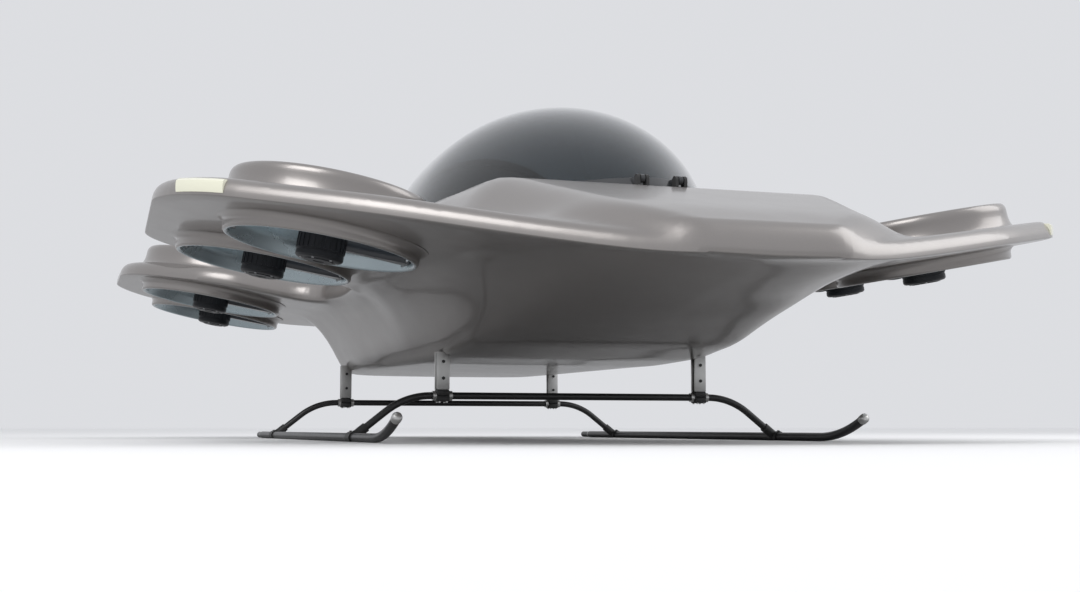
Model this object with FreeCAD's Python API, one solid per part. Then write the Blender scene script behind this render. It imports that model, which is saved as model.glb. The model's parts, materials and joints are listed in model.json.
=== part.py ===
import FreeCAD, Part
import math
import os

# Two-seat aircraft with eight ducted lift fans, parked on its skids.
# Millimetres. The nose points to -Y, +X is the left hand of someone facing the nose,
# and the skids stand on z = 0 with the origin under the middle of the aircraft.

os.makedirs("parts", exist_ok=True)
V = FreeCAD.Vector
X_AXIS = V(1, 0, 0)
Y_AXIS = V(0, 1, 0)
Z_AXIS = V(0, 0, 1)
FAR = 3000.0

# Hull stations. Columns: place along the aircraft, half width and height of the flat
# bottom, half width of the side, its lower and upper height, half width and height
# of the top.
STATIONS = [
    (-2090.0, 230.0, 500.0, 290.0, 514.0, 532.0, 160.0, 572.0),
    (-1950.0, 370.0, 480.0, 520.0, 530.0, 562.0, 300.0, 626.0),
    (-1880.0, 395.0, 468.0, 650.0, 545.0, 592.0, 340.0, 646.0),
    (-1540.0, 435.0, 412.0, 655.0, 550.0, 680.0, 470.0, 755.0),
    (-1380.0, 455.0, 385.0, 658.0, 550.0, 690.0, 520.0, 800.0),
    (-700.0, 500.0, 281.0, 665.0, 550.0, 690.0, 575.0, 800.0),
    (100.0, 520.0, 281.0, 690.0, 560.0, 690.0, 590.0, 800.0),
    (1200.0, 470.0, 281.0, 630.0, 560.0, 690.0, 510.0, 780.0),
    (1700.0, 355.0, 378.0, 430.0, 555.0, 675.0, 350.0, 735.0),
    (1960.0, 290.0, 424.0, 365.0, 540.0, 640.0, 270.0, 685.0),
    (2090.0, 180.0, 450.0, 235.0, 530.0, 590.0, 160.0, 615.0),
]
# Depth of the hollow flank and height of the round shoulder, as shares of their chords
FLANK_HOLLOW = 0.085
SHOULDER_SWELL = 0.095
WALL = 32.0

# Cabin
CABIN_FRONT = -1400.0
CABIN_REAR = 480.0
SILL_Z = 800.0
SILL_WIDTH = 45.0

# Canopy, a body of revolution about a level axis
CREST_Y = -200.0
CREST_R = 530.0
SPINDLE_Z = 720.0
SPINDLE_FRONT = -1400.0
SPINDLE_REAR = 1750.0
GLASS_THICK = 8.0
RAIL_WIDTH = 28.0
RAIL_HEIGHT = 30.0
SEAL_GAP = 8.0
BOW_LENGTH = 30.0
BOW_GAP = 10.0

# Canopy hinge
HINGE_Y = -1340.0
HINGE_RISE = 22.0
HINGE_X = 65.0
HINGE_ARM_WIDTH = 14.0
HINGE_ARM_REACH = 90.0
HINGE_LUG_WIDTH = 10.0
HINGE_SIDE_GAP = 3.0
HINGE_BOSS_R = 14.0
HINGE_PIN_R = 6.0
RUNNING_GAP = 0.05

# Pods, flat plates canted up towards their tips
CANT = 10.3
POD_REF_X = 1078.0
LIP_Z = 581.0
POD_UNDER = 42.0
POD_ROOT_X = 600.0
POD_THICK = 66.0
POD_TOP_R = 42.0
POD_LOW_R = 12.0

# Duct ring
RING_OUTER_R = 295.0
LIP_WIDTH = 18.0
DUCT_WALL = 33.0
RING_LIP_R = RING_OUTER_R - LIP_WIDTH
THROAT_R = RING_OUTER_R - DUCT_WALL
THROAT_LOW = 62.0
INLET_WALL = 32.0
RING_TOP = 190.0
LIP_ROUND = 9.0

# Duct centres. The two ducts of a pod stand about its middle, half a web apart.
FRONT_MIDDLE = -883.0
REAR_MIDDLE = 1296.0
FRONT_HALF_WEB = 22.0
REAR_HALF_WEB = 9.0
FRONT_STEP = RING_OUTER_R + FRONT_HALF_WEB
REAR_STEP = RING_OUTER_R + REAR_HALF_WEB
# Columns: pod, number in the pod, x and y.
DUCTS = [
    ("front", 1, 1044.0, FRONT_MIDDLE - FRONT_STEP),
    ("front", 2, 1114.0, FRONT_MIDDLE + FRONT_STEP),
    ("rear", 1, 1096.0, REAR_MIDDLE - REAR_STEP),
    ("rear", 2, 1002.0, REAR_MIDDLE + REAR_STEP),
]

# Lift motor
MOTOR_R = 72.0
MOTOR_LOW = -35.0
MOTOR_HIGH = 78.0
MOTOR_EDGE = 8.0
SHAFT_R = 12.0
SHAFT_LENGTH = 30.0

# Rotor
BLADE_COUNT = 5
TIP_GAP = 8.0
HUB_GAP = 6.0
HUB_R = 56.0
HUB_WALL_HEIGHT = 46.0
SPINNER_RISE = 34.0
BLADE_PLANE = 112.0
BLADE_SEAT = 0.8
EDGE_THICK = 1.5
# Blade sections. Columns: share of the way from hub to tip, chord, thickness, pitch.
BLADE_SECTIONS = [
    (0.0, 58.0, 9.0, 36.0),
    (0.45, 64.0, 7.0, 24.0),
    (1.0, 40.0, 4.0, 14.0),
]

# Motor arm, stay and clip
ARM_LOW = 12.0
ARM_HIGH = 48.0
ARM_ROOT_HALF = 36.0
ARM_TIP_HALF = 19.0
ARM_EDGE_R = 6.0
STAY_R = 9.0
STAY_Z = 22.0
CLIP_SWEEP = 26.0
CLIP_DEPTH = 12.0
CLIP_HEIGHT = 26.0

# Headlamp strip along the leading corner of a front pod
LAMP_DEPTH = 16.0
LAMP_LOW = 54.0
LAMP_HIGH = 92.0
LAMP_REAR = -1300.0

# Landing gear
SKID_R = 15.0
SKID_X = 805.0
SKID_REAR = 1431.0
SPIGOT_R = 13.5
SPIGOT_LENGTH = 90.0
SKID_BEND_Y = -900.0
SKID_TIP_RISE = 58.0
SKID_TIP_RUN = 280.0
CAP_LENGTH = 26.0
CAP_EXTRA_R = 2.0
TUBE_R = 12.5
TUBE_Z = 158.0
TUBE_STATIONS = [("front", -568.0), ("rear", 1023.0)]
TUBE_STRAIGHT_X = 530.0
TUBE_BEND_R = 260.0
TUBE_BEND_ANGLE = 38.0
POST_X = 490.0
POST_WIDTH = 46.0
POST_LENGTH = 34.0
CLAMP_HALF = 21.0
COLLAR_R = 17.0
COLLAR_WIDTH = 12.0
COLLAR_OFFSET = 42.0
SADDLE_R = 20.0
SADDLE_LENGTH = 64.0
SADDLE_SLEEVE_R = 17.0
SADDLE_SLEEVE_LENGTH = 46.0
SADDLE_FLOOR_GAP = 2.0

# Seats. Columns of the profiles: place along the aircraft and height.
SEAT_X = 235.0
SEAT_WIDTH = 400.0
SEAT_EDGE_R = 24.0
SEAT_PROFILE = [(-430.0, 335.0), (-440.0, 425.0), (-30.0, 395.0), (235.0, 930.0),
                (325.0, 900.0), (75.0, 330.0)]
HEADREST_WIDTH = 190.0
HEADREST_PROFILE = [(238.0, 915.0), (292.0, 1040.0), (352.0, 1015.0), (310.0, 890.0)]
BASE_FRONT = -330.0
BASE_LENGTH = 340.0
BASE_HEIGHT = 60.0
BASE_SHARE = 0.7

# Panel, console, sticks and battery
PANEL_HALF = 470.0
CONSOLE_HALF = 80.0
PANEL_Z = 640.0
PANEL_FRONT = -1010.0
PANEL_REAR = -850.0
PANEL_RISE = 120.0
CONSOLE_REAR = -440.0
CONSOLE_KNEE = -700.0
CONSOLE_REAR_Z = 470.0
CONSOLE_FRONT_Z = 560.0
CONSOLE_INSET = 30.0
STICK_Y = -560.0
STICK_R = 11.0
STICK_GRIP_R = 18.0
STICK_BOOT_R = 42.0
STICK_HEIGHT = 250.0
BATTERY = (330.0, 600.0, 1100.0, 190.0)
BATTERY_GAP = 4.0


def station_at(y):
    """Columns of the hull at any place along it, by straight lines between stations."""
    for low, high in zip(STATIONS, STATIONS[1:]):
        if low[0] <= y <= high[0]:
            share = (y - low[0]) / (high[0] - low[0])
            return tuple(a + share * (b - a) for a, b in zip(low, high))
    raise ValueError("no station there")


def arc(start, middle, end):
    return Part.Arc(start, middle, end).toShape()


def bulged(start, end, share):
    """Arc in the section plane, pushed sideways at its middle by a share of its chord."""
    chord = end - start
    normal = V(chord.z, 0, -chord.x)
    return arc(start, (start + end) * 0.5 + normal * share, end)


def lower_section(row):
    y, bottom, low, side, side_low, side_high = row[:6]
    right = [V(bottom, y, low), V(side, y, side_low), V(side, y, side_high)]
    left = [V(-p.x, p.y, p.z) for p in right]
    edges = [
        Part.makeLine(left[0], right[0]),
        bulged(right[0], right[1], -FLANK_HOLLOW),
        Part.makeLine(right[1], right[2]),
        Part.makeLine(right[2], left[2]),
        Part.makeLine(left[2], left[1]),
        bulged(left[1], left[0], -FLANK_HOLLOW),
    ]
    return Part.Wire(edges)


def upper_section(row):
    y, side, side_high, top, top_high = row[0], row[3], row[5], row[6], row[7]
    right = [V(side, y, side_high), V(top, y, top_high)]
    left = [V(-p.x, p.y, p.z) for p in right]
    edges = [
        Part.makeLine(left[0], right[0]),
        bulged(right[0], right[1], SHOULDER_SWELL),
        Part.makeLine(right[1], left[1]),
        bulged(left[1], left[0], SHOULDER_SWELL),
    ]
    return Part.Wire(edges)


def cabin_section(row):
    y, bottom, low, side, side_low, side_high, top, top_high = row
    right = [
        V(bottom - WALL, y, low + WALL),
        V(side - WALL, y, side_low + WALL),
        V(side - WALL, y, side_high),
        V(top - WALL, y, top_high - WALL),
    ]
    points = right + [V(-p.x, p.y, p.z) for p in reversed(right)]
    return Part.makePolygon(points + points[:1])


def loft(wires):
    return Part.makeLoft(wires, True, True)


def spindle(inset):
    """Body of revolution of the canopy and of the fairing behind it."""
    radius = CREST_R - inset
    front = SPINDLE_FRONT + inset
    rear = SPINDLE_REAR - inset
    crest = V(0, CREST_Y, SPINDLE_Z + radius)

    def half_arc(end_y):
        run = end_y - CREST_Y
        big = (run * run + radius * radius) / (2 * radius)
        mid_y = CREST_Y + run / 2
        mid_z = SPINDLE_Z + radius - big + math.sqrt(big * big - run * run / 4)
        return V(0, mid_y, mid_z)

    nose = V(0, front, SPINDLE_Z)
    tail = V(0, rear, SPINDLE_Z)
    profile = Part.Wire([
        arc(nose, half_arc(front), crest),
        arc(crest, half_arc(rear), tail),
        Part.makeLine(tail, nose),
    ])
    return Part.Face(profile).revolve(nose, Y_AXIS, 360)


def slab(y_low, y_high, z_low, z_high, half=FAR):
    return Part.makeBox(2 * half, y_high - y_low, z_high - z_low, V(-half, y_low, z_low))


def cabin_space():
    rows = [station_at(CABIN_FRONT)]
    rows += [row for row in STATIONS if CABIN_FRONT < row[0] < CABIN_REAR]
    rows.append(station_at(CABIN_REAR))
    return loft([cabin_section(row) for row in rows])


def battery_floor():
    return station_at(BATTERY[1])[2] + WALL


def battery_box(gap):
    half, front, rear, height = BATTERY
    return slab(front - gap, rear + gap, battery_floor(), battery_floor() + height + gap, half + gap)


def hull_lower(solid):
    return solid.cut(cabin_space()).cut(battery_box(BATTERY_GAP))


def hull_upper(deck):
    fairing = spindle(0).common(slab(CABIN_REAR, FAR, SPINDLE_Z, FAR))
    opening = spindle(SILL_WIDTH).common(slab(CABIN_FRONT, CABIN_REAR - SILL_WIDTH / 2, 0, FAR))
    return deck.fuse(fairing).cut(cabin_space()).cut(opening).removeSplitter()


def rail_low():
    return SILL_Z + SEAL_GAP


def canopy_rear():
    return CABIN_REAR - BOW_GAP


def hinge_z():
    return SILL_Z + HINGE_RISE


def x_cylinder(radius, centre_y, centre_z, low, high):
    return Part.makeCylinder(radius, high - low, V(low, centre_y, centre_z), X_AXIS)


def hinge_arms():
    arms = []
    for side in (-1, 1):
        low = side * HINGE_X - HINGE_ARM_WIDTH / 2
        high = low + HINGE_ARM_WIDTH
        boss = x_cylinder(HINGE_BOSS_R, HINGE_Y, hinge_z(), low, high)
        bar = Part.makeBox(HINGE_ARM_WIDTH, HINGE_ARM_REACH, 2 * HINGE_BOSS_R,
                           V(low, HINGE_Y, hinge_z() - HINGE_BOSS_R))
        arms.append(boss.fuse(bar))
    return arms


def canopy_frame():
    shell = spindle(0).cut(spindle(RAIL_WIDTH))
    rail = shell.common(slab(-FAR, canopy_rear(), rail_low(), rail_low() + RAIL_HEIGHT))
    bow = shell.common(slab(canopy_rear() - BOW_LENGTH, canopy_rear(), rail_low(), FAR))
    frame = rail.fuse(bow)
    for arm in hinge_arms():
        frame = frame.fuse(arm.cut(spindle(RAIL_WIDTH)))
    bore = x_cylinder(HINGE_PIN_R + RUNNING_GAP, HINGE_Y, hinge_z(), -FAR, FAR)
    return frame.cut(bore).removeSplitter()


def canopy_glass():
    shell = spindle(0).cut(spindle(GLASS_THICK))
    return shell.common(slab(-FAR, canopy_rear() - BOW_LENGTH, rail_low() + RAIL_HEIGHT, FAR))


def canopy_hinge():
    brackets = []
    inner = HINGE_ARM_WIDTH / 2 + HINGE_SIDE_GAP
    outer = inner + HINGE_LUG_WIDTH
    for side in (-1, 1):
        bracket = x_cylinder(HINGE_PIN_R, HINGE_Y, hinge_z(), side * HINGE_X - outer, side * HINGE_X + outer)
        for low in (side * HINGE_X - outer, side * HINGE_X + inner):
            boss = x_cylinder(HINGE_BOSS_R, HINGE_Y, hinge_z(), low, low + HINGE_LUG_WIDTH)
            foot = Part.makeBox(HINGE_LUG_WIDTH, 2 * HINGE_BOSS_R, HINGE_RISE,
                                V(low, HINGE_Y - HINGE_BOSS_R, SILL_Z))
            bracket = bracket.fuse(boss).fuse(foot)
        brackets.append(bracket.removeSplitter())
    return Part.makeCompound(brackets)


def pod_placement():
    return FreeCAD.Placement(V(POD_REF_X, 0, LIP_Z), FreeCAD.Rotation(Y_AXIS, -CANT))


def placed(shape, side):
    """Moves a shape from the flat pod frame to its place on the right or left side."""
    shape = shape.copy()
    shape.transformShape(pod_placement().toMatrix())
    if side < 0:
        shape = shape.mirror(V(0, 0, 0), X_AXIS)
    return shape


def flat(x, y, z=0.0):
    return V(x - POD_REF_X, y, z)


# Pod outlines as corners in the flat pod frame. Columns: x, y and rounding radius.
# The corners with no rounding lie inside the hull.
FRONT_OUTLINE = [
    (400.0, -2042.0, 0.0),
    (1010.0, -1732.0, 1500.0),
    (1558.0, -1343.0, 447.0),
    (1497.0, -245.0, 210.0),
    (715.0, -122.0, 140.0),
    (676.0, 160.0, 0.0),
    (400.0, 160.0, 0.0),
]
REAR_OUTLINE = [
    (400.0, 330.0, 0.0),
    (672.0, 330.0, 0.0),
    (712.0, 584.0, 140.0),
    (1150.0, 590.0, 300.0),
    (1492.0, 905.0, 420.0),
    (1470.0, 1650.0, 330.0),
    (1000.0, 1958.0, 200.0),
    (690.0, 1790.0, 300.0),
    (400.0, 1690.0, 0.0),
]


def rounded_outline(rows):
    """Closed wire through the corners, each rounded by an arc tangent to its two sides."""
    starts, ends, arcs = [], [], []
    for index, (x, y, radius) in enumerate(rows):
        corner = flat(x, y)
        before = (flat(*rows[index - 1][:2]) - corner).normalize()
        after = (flat(*rows[(index + 1) % len(rows)][:2]) - corner).normalize()
        if radius == 0:
            starts.append(corner)
            ends.append(corner)
            arcs.append(None)
            continue
        half = before.getAngle(after) / 2
        reach = radius / math.tan(half)
        inward = (before + after).normalize()
        start, end = corner + before * reach, corner + after * reach
        middle = corner + inward * (radius / math.sin(half) - radius)
        starts.append(start)
        ends.append(end)
        arcs.append(arc(start, middle, end))
    edges = []
    for index, piece in enumerate(arcs):
        edges.append(Part.makeLine(ends[index - 1], starts[index]))
        if piece:
            edges.append(piece)
    return Part.Wire(edges)


def rims_at(plate, z):
    """Edges of a pod plate in one level plane, without the one inside the hull."""
    root = flat(POD_ROOT_X, 0).x
    return [edge for edge in plate.Edges
            if edge.BoundBox.ZLength < 1 and abs(edge.BoundBox.ZMin - z) < 1
            and edge.BoundBox.XMax > root and edge.BoundBox.XLength > 1]


def pod_plate(rows):
    face = Part.Face(rounded_outline(rows))
    face.translate(V(0, 0, POD_UNDER))
    plate = face.extrude(V(0, 0, POD_THICK))
    plate = plate.makeFillet(POD_TOP_R, rims_at(plate, POD_UNDER + POD_THICK))
    return plate.makeFillet(POD_LOW_R, rims_at(plate, POD_UNDER))


def ring_profile(centre):
    inlet_r = RING_OUTER_R - INLET_WALL / 2
    inlet_z = RING_TOP - INLET_WALL / 2
    inner = RING_OUTER_R - INLET_WALL

    def at(r, z):
        return centre + V(r, 0, z)

    lip_mid = (RING_LIP_R + RING_OUTER_R) / 2
    return Part.Wire([
        Part.makeLine(at(THROAT_R, THROAT_LOW), at(RING_LIP_R, LIP_ROUND)),
        arc(at(RING_LIP_R, LIP_ROUND), at(lip_mid, 0), at(RING_OUTER_R, LIP_ROUND)),
        Part.makeLine(at(RING_OUTER_R, LIP_ROUND), at(RING_OUTER_R, inlet_z)),
        arc(at(RING_OUTER_R, inlet_z), at(inlet_r, RING_TOP), at(inner, inlet_z)),
        Part.makeLine(at(inner, inlet_z), at(THROAT_R, BLADE_PLANE)),
        Part.makeLine(at(THROAT_R, BLADE_PLANE), at(THROAT_R, THROAT_LOW)),
    ])


def duct_ring(centre):
    return Part.Face(ring_profile(centre)).revolve(centre, Z_AXIS, 360)


def motor(centre):
    can = Part.makeCylinder(MOTOR_R, MOTOR_HIGH - MOTOR_LOW, centre + V(0, 0, MOTOR_LOW))
    rims = [edge for edge in can.Edges if edge.BoundBox.ZLength < 1]
    can = can.makeFillet(MOTOR_EDGE, rims)
    shaft = Part.makeCylinder(SHAFT_R, SHAFT_LENGTH, centre + V(0, 0, MOTOR_HIGH))
    return can.fuse(shaft)


def motor_arm(centre):
    """Arm to the inboard wall, stay to the rear wall and clip on the outboard wall."""
    reach = RING_OUTER_R - 4.0
    corners = [
        centre + V(0, -ARM_ROOT_HALF, ARM_LOW),
        centre + V(-reach, -ARM_TIP_HALF, ARM_LOW),
        centre + V(-reach, ARM_TIP_HALF, ARM_LOW),
        centre + V(0, ARM_ROOT_HALF, ARM_LOW),
    ]
    face = Part.Face(Part.makePolygon(corners + corners[:1]))
    arm = face.extrude(V(0, 0, ARM_HIGH - ARM_LOW))
    long_edges = [edge for edge in arm.Edges
                  if edge.BoundBox.ZLength < 1 and edge.BoundBox.XLength > MOTOR_R]
    arm = arm.makeFillet(ARM_EDGE_R, long_edges)
    stay = Part.makeCylinder(STAY_R, reach, centre + V(0, 0, STAY_Z), Y_AXIS)
    clip = Part.makeCylinder(reach, CLIP_HEIGHT, centre + V(0, 0, LIP_ROUND), Z_AXIS, CLIP_SWEEP)
    clip.rotate(centre, Z_AXIS, -CLIP_SWEEP / 2)
    clip = clip.cut(Part.makeCylinder(RING_LIP_R - CLIP_DEPTH, FAR, centre))
    core = Part.makeCylinder(MOTOR_R, FAR, centre - V(0, 0, FAR / 2))
    pieces = []
    for piece in (arm.fuse(stay).cut(core), clip):
        pieces += piece.cut(duct_ring(centre)).Solids
    inside = Part.makeCylinder(reach - 1.0, FAR, centre - V(0, 0, FAR / 2))
    return [p for p in pieces if p.common(inside).Volume > 0.5 * p.Volume]


def blade_section(radius, chord, thickness, pitch):
    half = chord / 2
    points = [
        V(radius, -half, 0),
        V(radius, -half * 0.4, thickness),
        V(radius, half, EDGE_THICK),
        V(radius, half, 0),
    ]
    wire = Part.makePolygon(points + points[:1])
    wire.rotate(V(radius, 0, 0), X_AXIS, pitch)
    wire.translate(V(0, 0, BLADE_PLANE))
    return wire


def hub_body():
    low = MOTOR_HIGH + HUB_GAP
    high = low + HUB_WALL_HEIGHT
    top = high + SPINNER_RISE
    ball = (HUB_R ** 2 + SPINNER_RISE ** 2) / (2 * SPINNER_RISE)
    half = math.asin(HUB_R / ball) / 2
    shoulder = V(ball * math.sin(half), 0, top - ball + ball * math.cos(half))
    profile = Part.Wire([
        Part.makeLine(V(0, 0, top), V(0, 0, low)),
        Part.makeLine(V(0, 0, low), V(HUB_R, 0, low)),
        Part.makeLine(V(HUB_R, 0, low), V(HUB_R, 0, high)),
        arc(V(HUB_R, 0, high), shoulder, V(0, 0, top)),
    ])
    return Part.Face(profile).revolve(V(0, 0, 0), Z_AXIS, 360)


def rotor():
    """Hub, spinner and blades about the duct axis, at the flat frame's origin."""
    tip = THROAT_R - TIP_GAP
    start = HUB_R * BLADE_SEAT
    wires = [blade_section(start + share * (tip - start), chord, thick, pitch)
             for share, chord, thick, pitch in BLADE_SECTIONS]
    blade = Part.makeLoft(wires, True, True).common(Part.makeCylinder(tip, FAR))
    blades = []
    for index in range(BLADE_COUNT):
        turned = blade.copy()
        turned.rotate(V(0, 0, 0), Z_AXIS, index * 360.0 / BLADE_COUNT)
        blades.append(turned)
    low = MOTOR_HIGH + HUB_GAP
    bore_depth = SHAFT_LENGTH - HUB_GAP + RUNNING_GAP
    bore = Part.makeCylinder(SHAFT_R + RUNNING_GAP, bore_depth, V(0, 0, low))
    return hub_body().fuse(blades).cut(bore)


def lamp_band():
    """Thin upright strip of the pod's leading corner that the headlamp fills."""
    x, y, radius = FRONT_OUTLINE[2]
    corner = flat(x, y)
    before = (flat(*FRONT_OUTLINE[1][:2]) - corner).normalize()
    after = (flat(*FRONT_OUTLINE[3][:2]) - corner).normalize()
    half = before.getAngle(after) / 2
    centre = corner + (before + after).normalize() * (radius / math.sin(half))
    height = LAMP_HIGH - LAMP_LOW
    outer = Part.makeCylinder(radius + 5.0, height, centre + V(0, 0, LAMP_LOW))
    inner = Part.makeCylinder(radius - LAMP_DEPTH, height, centre + V(0, 0, LAMP_LOW))
    start = corner + before * (radius / math.tan(half) + 5.0)
    corner_box = Part.makeBox(FAR, LAMP_REAR + FAR, FAR, V(start.x, -FAR, 0))
    return outer.cut(inner).common(corner_box)


def tube_along(edges, radius):
    """Round bar swept along tangent edges."""
    path = Part.Wire(edges)
    start = edges[0].Vertexes[0].Point
    direction = edges[0].tangentAt(edges[0].FirstParameter)
    circle = Part.Wire(Part.makeCircle(radius, start, direction))
    return path.makePipeShell([circle], True, True)


def skid_bend():
    radius = (SKID_TIP_RUN ** 2 + SKID_TIP_RISE ** 2) / (2 * SKID_TIP_RISE)
    angle = math.asin(SKID_TIP_RUN / radius)
    return radius, angle


def skid_path():
    radius, angle = skid_bend()
    rear = V(SKID_X, SKID_REAR - SPIGOT_LENGTH, SKID_R)
    bend = V(SKID_X, SKID_BEND_Y, SKID_R)
    half = angle / 2
    middle = bend + V(0, -radius * math.sin(half), radius * (1 - math.cos(half)))
    tip = bend + V(0, -SKID_TIP_RUN, SKID_TIP_RISE)
    return [Part.makeLine(rear, bend), arc(bend, middle, tip)]


def skid():
    """Skid tube with a slightly thinner spigot behind it for a ground wheel."""
    spigot = Part.makeCylinder(SPIGOT_R, SPIGOT_LENGTH, V(SKID_X, SKID_REAR - SPIGOT_LENGTH, SKID_R), Y_AXIS)
    return tube_along(skid_path(), SKID_R).fuse(spigot)


def skid_cap():
    radius, angle = skid_bend()
    tip = V(SKID_X, SKID_BEND_Y - SKID_TIP_RUN, SKID_R + SKID_TIP_RISE)
    direction = V(0, -math.cos(angle), math.sin(angle))
    cap = Part.makeCylinder(SKID_R + CAP_EXTRA_R, CAP_LENGTH, tip, direction)
    rim = [edge for edge in cap.Edges if (edge.CenterOfMass - tip).Length > CAP_LENGTH / 2
           and edge.Length < 2 * math.pi * (SKID_R + CAP_EXTRA_R) + 1]
    return cap.makeFillet(SKID_R * 0.6, rim[:1])


def cross_tube_half(y):
    angle = math.radians(TUBE_BEND_ANGLE)
    bend = V(TUBE_STRAIGHT_X, y, TUBE_Z)
    half = angle / 2
    middle = bend + V(TUBE_BEND_R * math.sin(half), 0, -TUBE_BEND_R * (1 - math.cos(half)))
    lower = bend + V(TUBE_BEND_R * math.sin(angle), 0, -TUBE_BEND_R * (1 - math.cos(angle)))
    run = SKID_X - lower.x
    end = V(SKID_X, y, lower.z - run * math.tan(angle))
    return bend, middle, lower, end


def cross_tube(y):
    bend, middle, lower, end = cross_tube_half(y)

    def left(point):
        return V(-point.x, point.y, point.z)

    edges = [
        Part.makeLine(left(end), left(lower)),
        arc(left(lower), left(middle), left(bend)),
        Part.makeLine(left(bend), bend),
        arc(bend, middle, lower),
        Part.makeLine(lower, end),
    ]
    tube = tube_along(edges, TUBE_R)
    for skid_shape in both(skid()):
        tube = tube.cut(skid_shape)
    inner = slab(y - 100, y + 100, 0, FAR, SKID_X)
    return max(tube.common(inner).Solids, key=lambda s: s.Volume)


def both(shape):
    return [shape, shape.mirror(V(0, 0, 0), X_AXIS)]


def gear_post(y):
    clamp_top = TUBE_Z + CLAMP_HALF
    belly = station_at(y)[2]
    post = Part.makeBox(POST_WIDTH, POST_LENGTH, belly - clamp_top,
                        V(POST_X - POST_WIDTH / 2, y - POST_LENGTH / 2, clamp_top))
    uprights = [edge for edge in post.Edges if edge.BoundBox.ZLength > 1]
    return post.makeFillet(5.0, uprights)


def gear_clamp(y):
    clamp = Part.makeBox(POST_WIDTH, 2 * CLAMP_HALF, 2 * CLAMP_HALF,
                         V(POST_X - POST_WIDTH / 2, y - CLAMP_HALF, TUBE_Z - CLAMP_HALF))
    long_edges = [edge for edge in clamp.Edges if edge.BoundBox.XLength > 1]
    clamp = clamp.makeChamfer(7.0, long_edges)
    collar = x_cylinder(COLLAR_R, y, TUBE_Z, POST_X - POST_WIDTH / 2 - COLLAR_WIDTH,
                        POST_X + POST_WIDTH / 2 + COLLAR_WIDTH)
    tube = x_cylinder(TUBE_R, y, TUBE_Z, 0, FAR)
    return clamp.fuse(collar).cut(tube)


def skid_saddle(y, tube):
    bend, middle, lower, end = cross_tube_half(y)
    collar = Part.makeCylinder(SADDLE_R, SADDLE_LENGTH, V(SKID_X, y - SADDLE_LENGTH / 2, SKID_R), Y_AXIS)
    back = (lower - end).normalize()
    sleeve = Part.makeCylinder(SADDLE_SLEEVE_R, SADDLE_SLEEVE_LENGTH + SKID_R, end, back)
    saddle = collar.fuse(sleeve).common(slab(-FAR, FAR, SADDLE_FLOOR_GAP, FAR))
    return saddle.cut(skid()).cut(tube)


def cabin_floor(y=0.0):
    return station_at(y)[2] + WALL


def profile_plate(rows, width, centre_x):
    """Plate of a profile in the side view, centred on a place across the aircraft."""
    points = [V(centre_x - width / 2, y, z) for y, z in rows]
    return Part.Face(Part.makePolygon(points + points[:1])).extrude(V(width, 0, 0))


def seat():
    body = profile_plate(SEAT_PROFILE, SEAT_WIDTH, SEAT_X)
    body = body.makeFillet(SEAT_EDGE_R, body.Edges)
    rest = profile_plate(HEADREST_PROFILE, HEADREST_WIDTH, SEAT_X)
    base_width = SEAT_WIDTH * BASE_SHARE
    base = Part.makeBox(base_width, BASE_LENGTH, BASE_HEIGHT,
                        V(SEAT_X - base_width / 2, BASE_FRONT, cabin_floor()))
    return body.fuse(rest).fuse(base)


def console():
    front = PANEL_FRONT + CONSOLE_INSET
    rows = [(front, cabin_floor(PANEL_FRONT)), (CONSOLE_KNEE, cabin_floor()),
            (CONSOLE_REAR, cabin_floor()), (CONSOLE_REAR, CONSOLE_REAR_Z),
            (PANEL_REAR, CONSOLE_FRONT_Z), (PANEL_REAR, PANEL_Z), (front, PANEL_Z)]
    return profile_plate(rows, 2 * CONSOLE_HALF, 0.0)


def panel():
    top = PANEL_Z + PANEL_RISE
    rows = [(PANEL_FRONT, PANEL_Z), (PANEL_REAR, PANEL_Z), (PANEL_REAR - 40, top - 12),
            (PANEL_REAR - 20, top), (PANEL_FRONT, top - 20)]
    return profile_plate(rows, 2 * PANEL_HALF, 0.0)


def stick(side):
    base = V(side * SEAT_X, STICK_Y, cabin_floor())
    boot = Part.makeCone(STICK_BOOT_R, STICK_R, 50, base)
    shaft = Part.makeCylinder(STICK_R, STICK_HEIGHT, base)
    grip = Part.makeCylinder(STICK_GRIP_R, 90, base + V(0, 0, STICK_HEIGHT - 90))
    grip = grip.makeFillet(8.0, [e for e in grip.Edges if e.BoundBox.ZLength < 1])
    return boot.fuse(shaft).fuse(grip)


def save(name, shape):
    if not shape.isValid():
        print("not valid:", name)
    shape.exportStep("parts/%s.step" % name)
    print(name, len(shape.Solids), "solids", round(shape.Volume / 1e6, 2), "litres")


SIDES = [("right", 1), ("left", -1)]


def save_pods(hull, deck):
    fan = rotor()
    for pod, rows in (("front", FRONT_OUTLINE), ("rear", REAR_OUTLINE)):
        centres = [flat(x, y) for name, number, x, y in DUCTS if name == pod]
        plate = pod_plate(rows)
        for centre in centres:
            plate = plate.cut(Part.makeCylinder(RING_OUTER_R, FAR, centre))
        lamp = None
        if pod == "front":
            lamp = plate.common(lamp_band())
            plate = plate.cut(lamp_band())
        rings = Part.makeCompound([duct_ring(c) for c in centres])
        motors = Part.makeCompound([motor(c) for c in centres])
        arms = Part.makeCompound(sum([motor_arm(c) for c in centres], []))
        for side_name, side in SIDES:
            label = "%s_%s" % (pod, side_name)
            save("pod_" + label, placed(plate, side).cut(hull).cut(deck))
            save("duct_rings_" + label, placed(rings, side))
            save("lift_motors_" + label, placed(motors, side))
            save("motor_arms_" + label, placed(arms, side))
            for number, centre in enumerate(centres, 1):
                turned = fan.copy()
                turned.translate(centre)
                save("rotor_%s_%d" % (label, number), placed(turned, side))
            if lamp:
                save("headlamp_" + side_name, placed(lamp, side))


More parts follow.
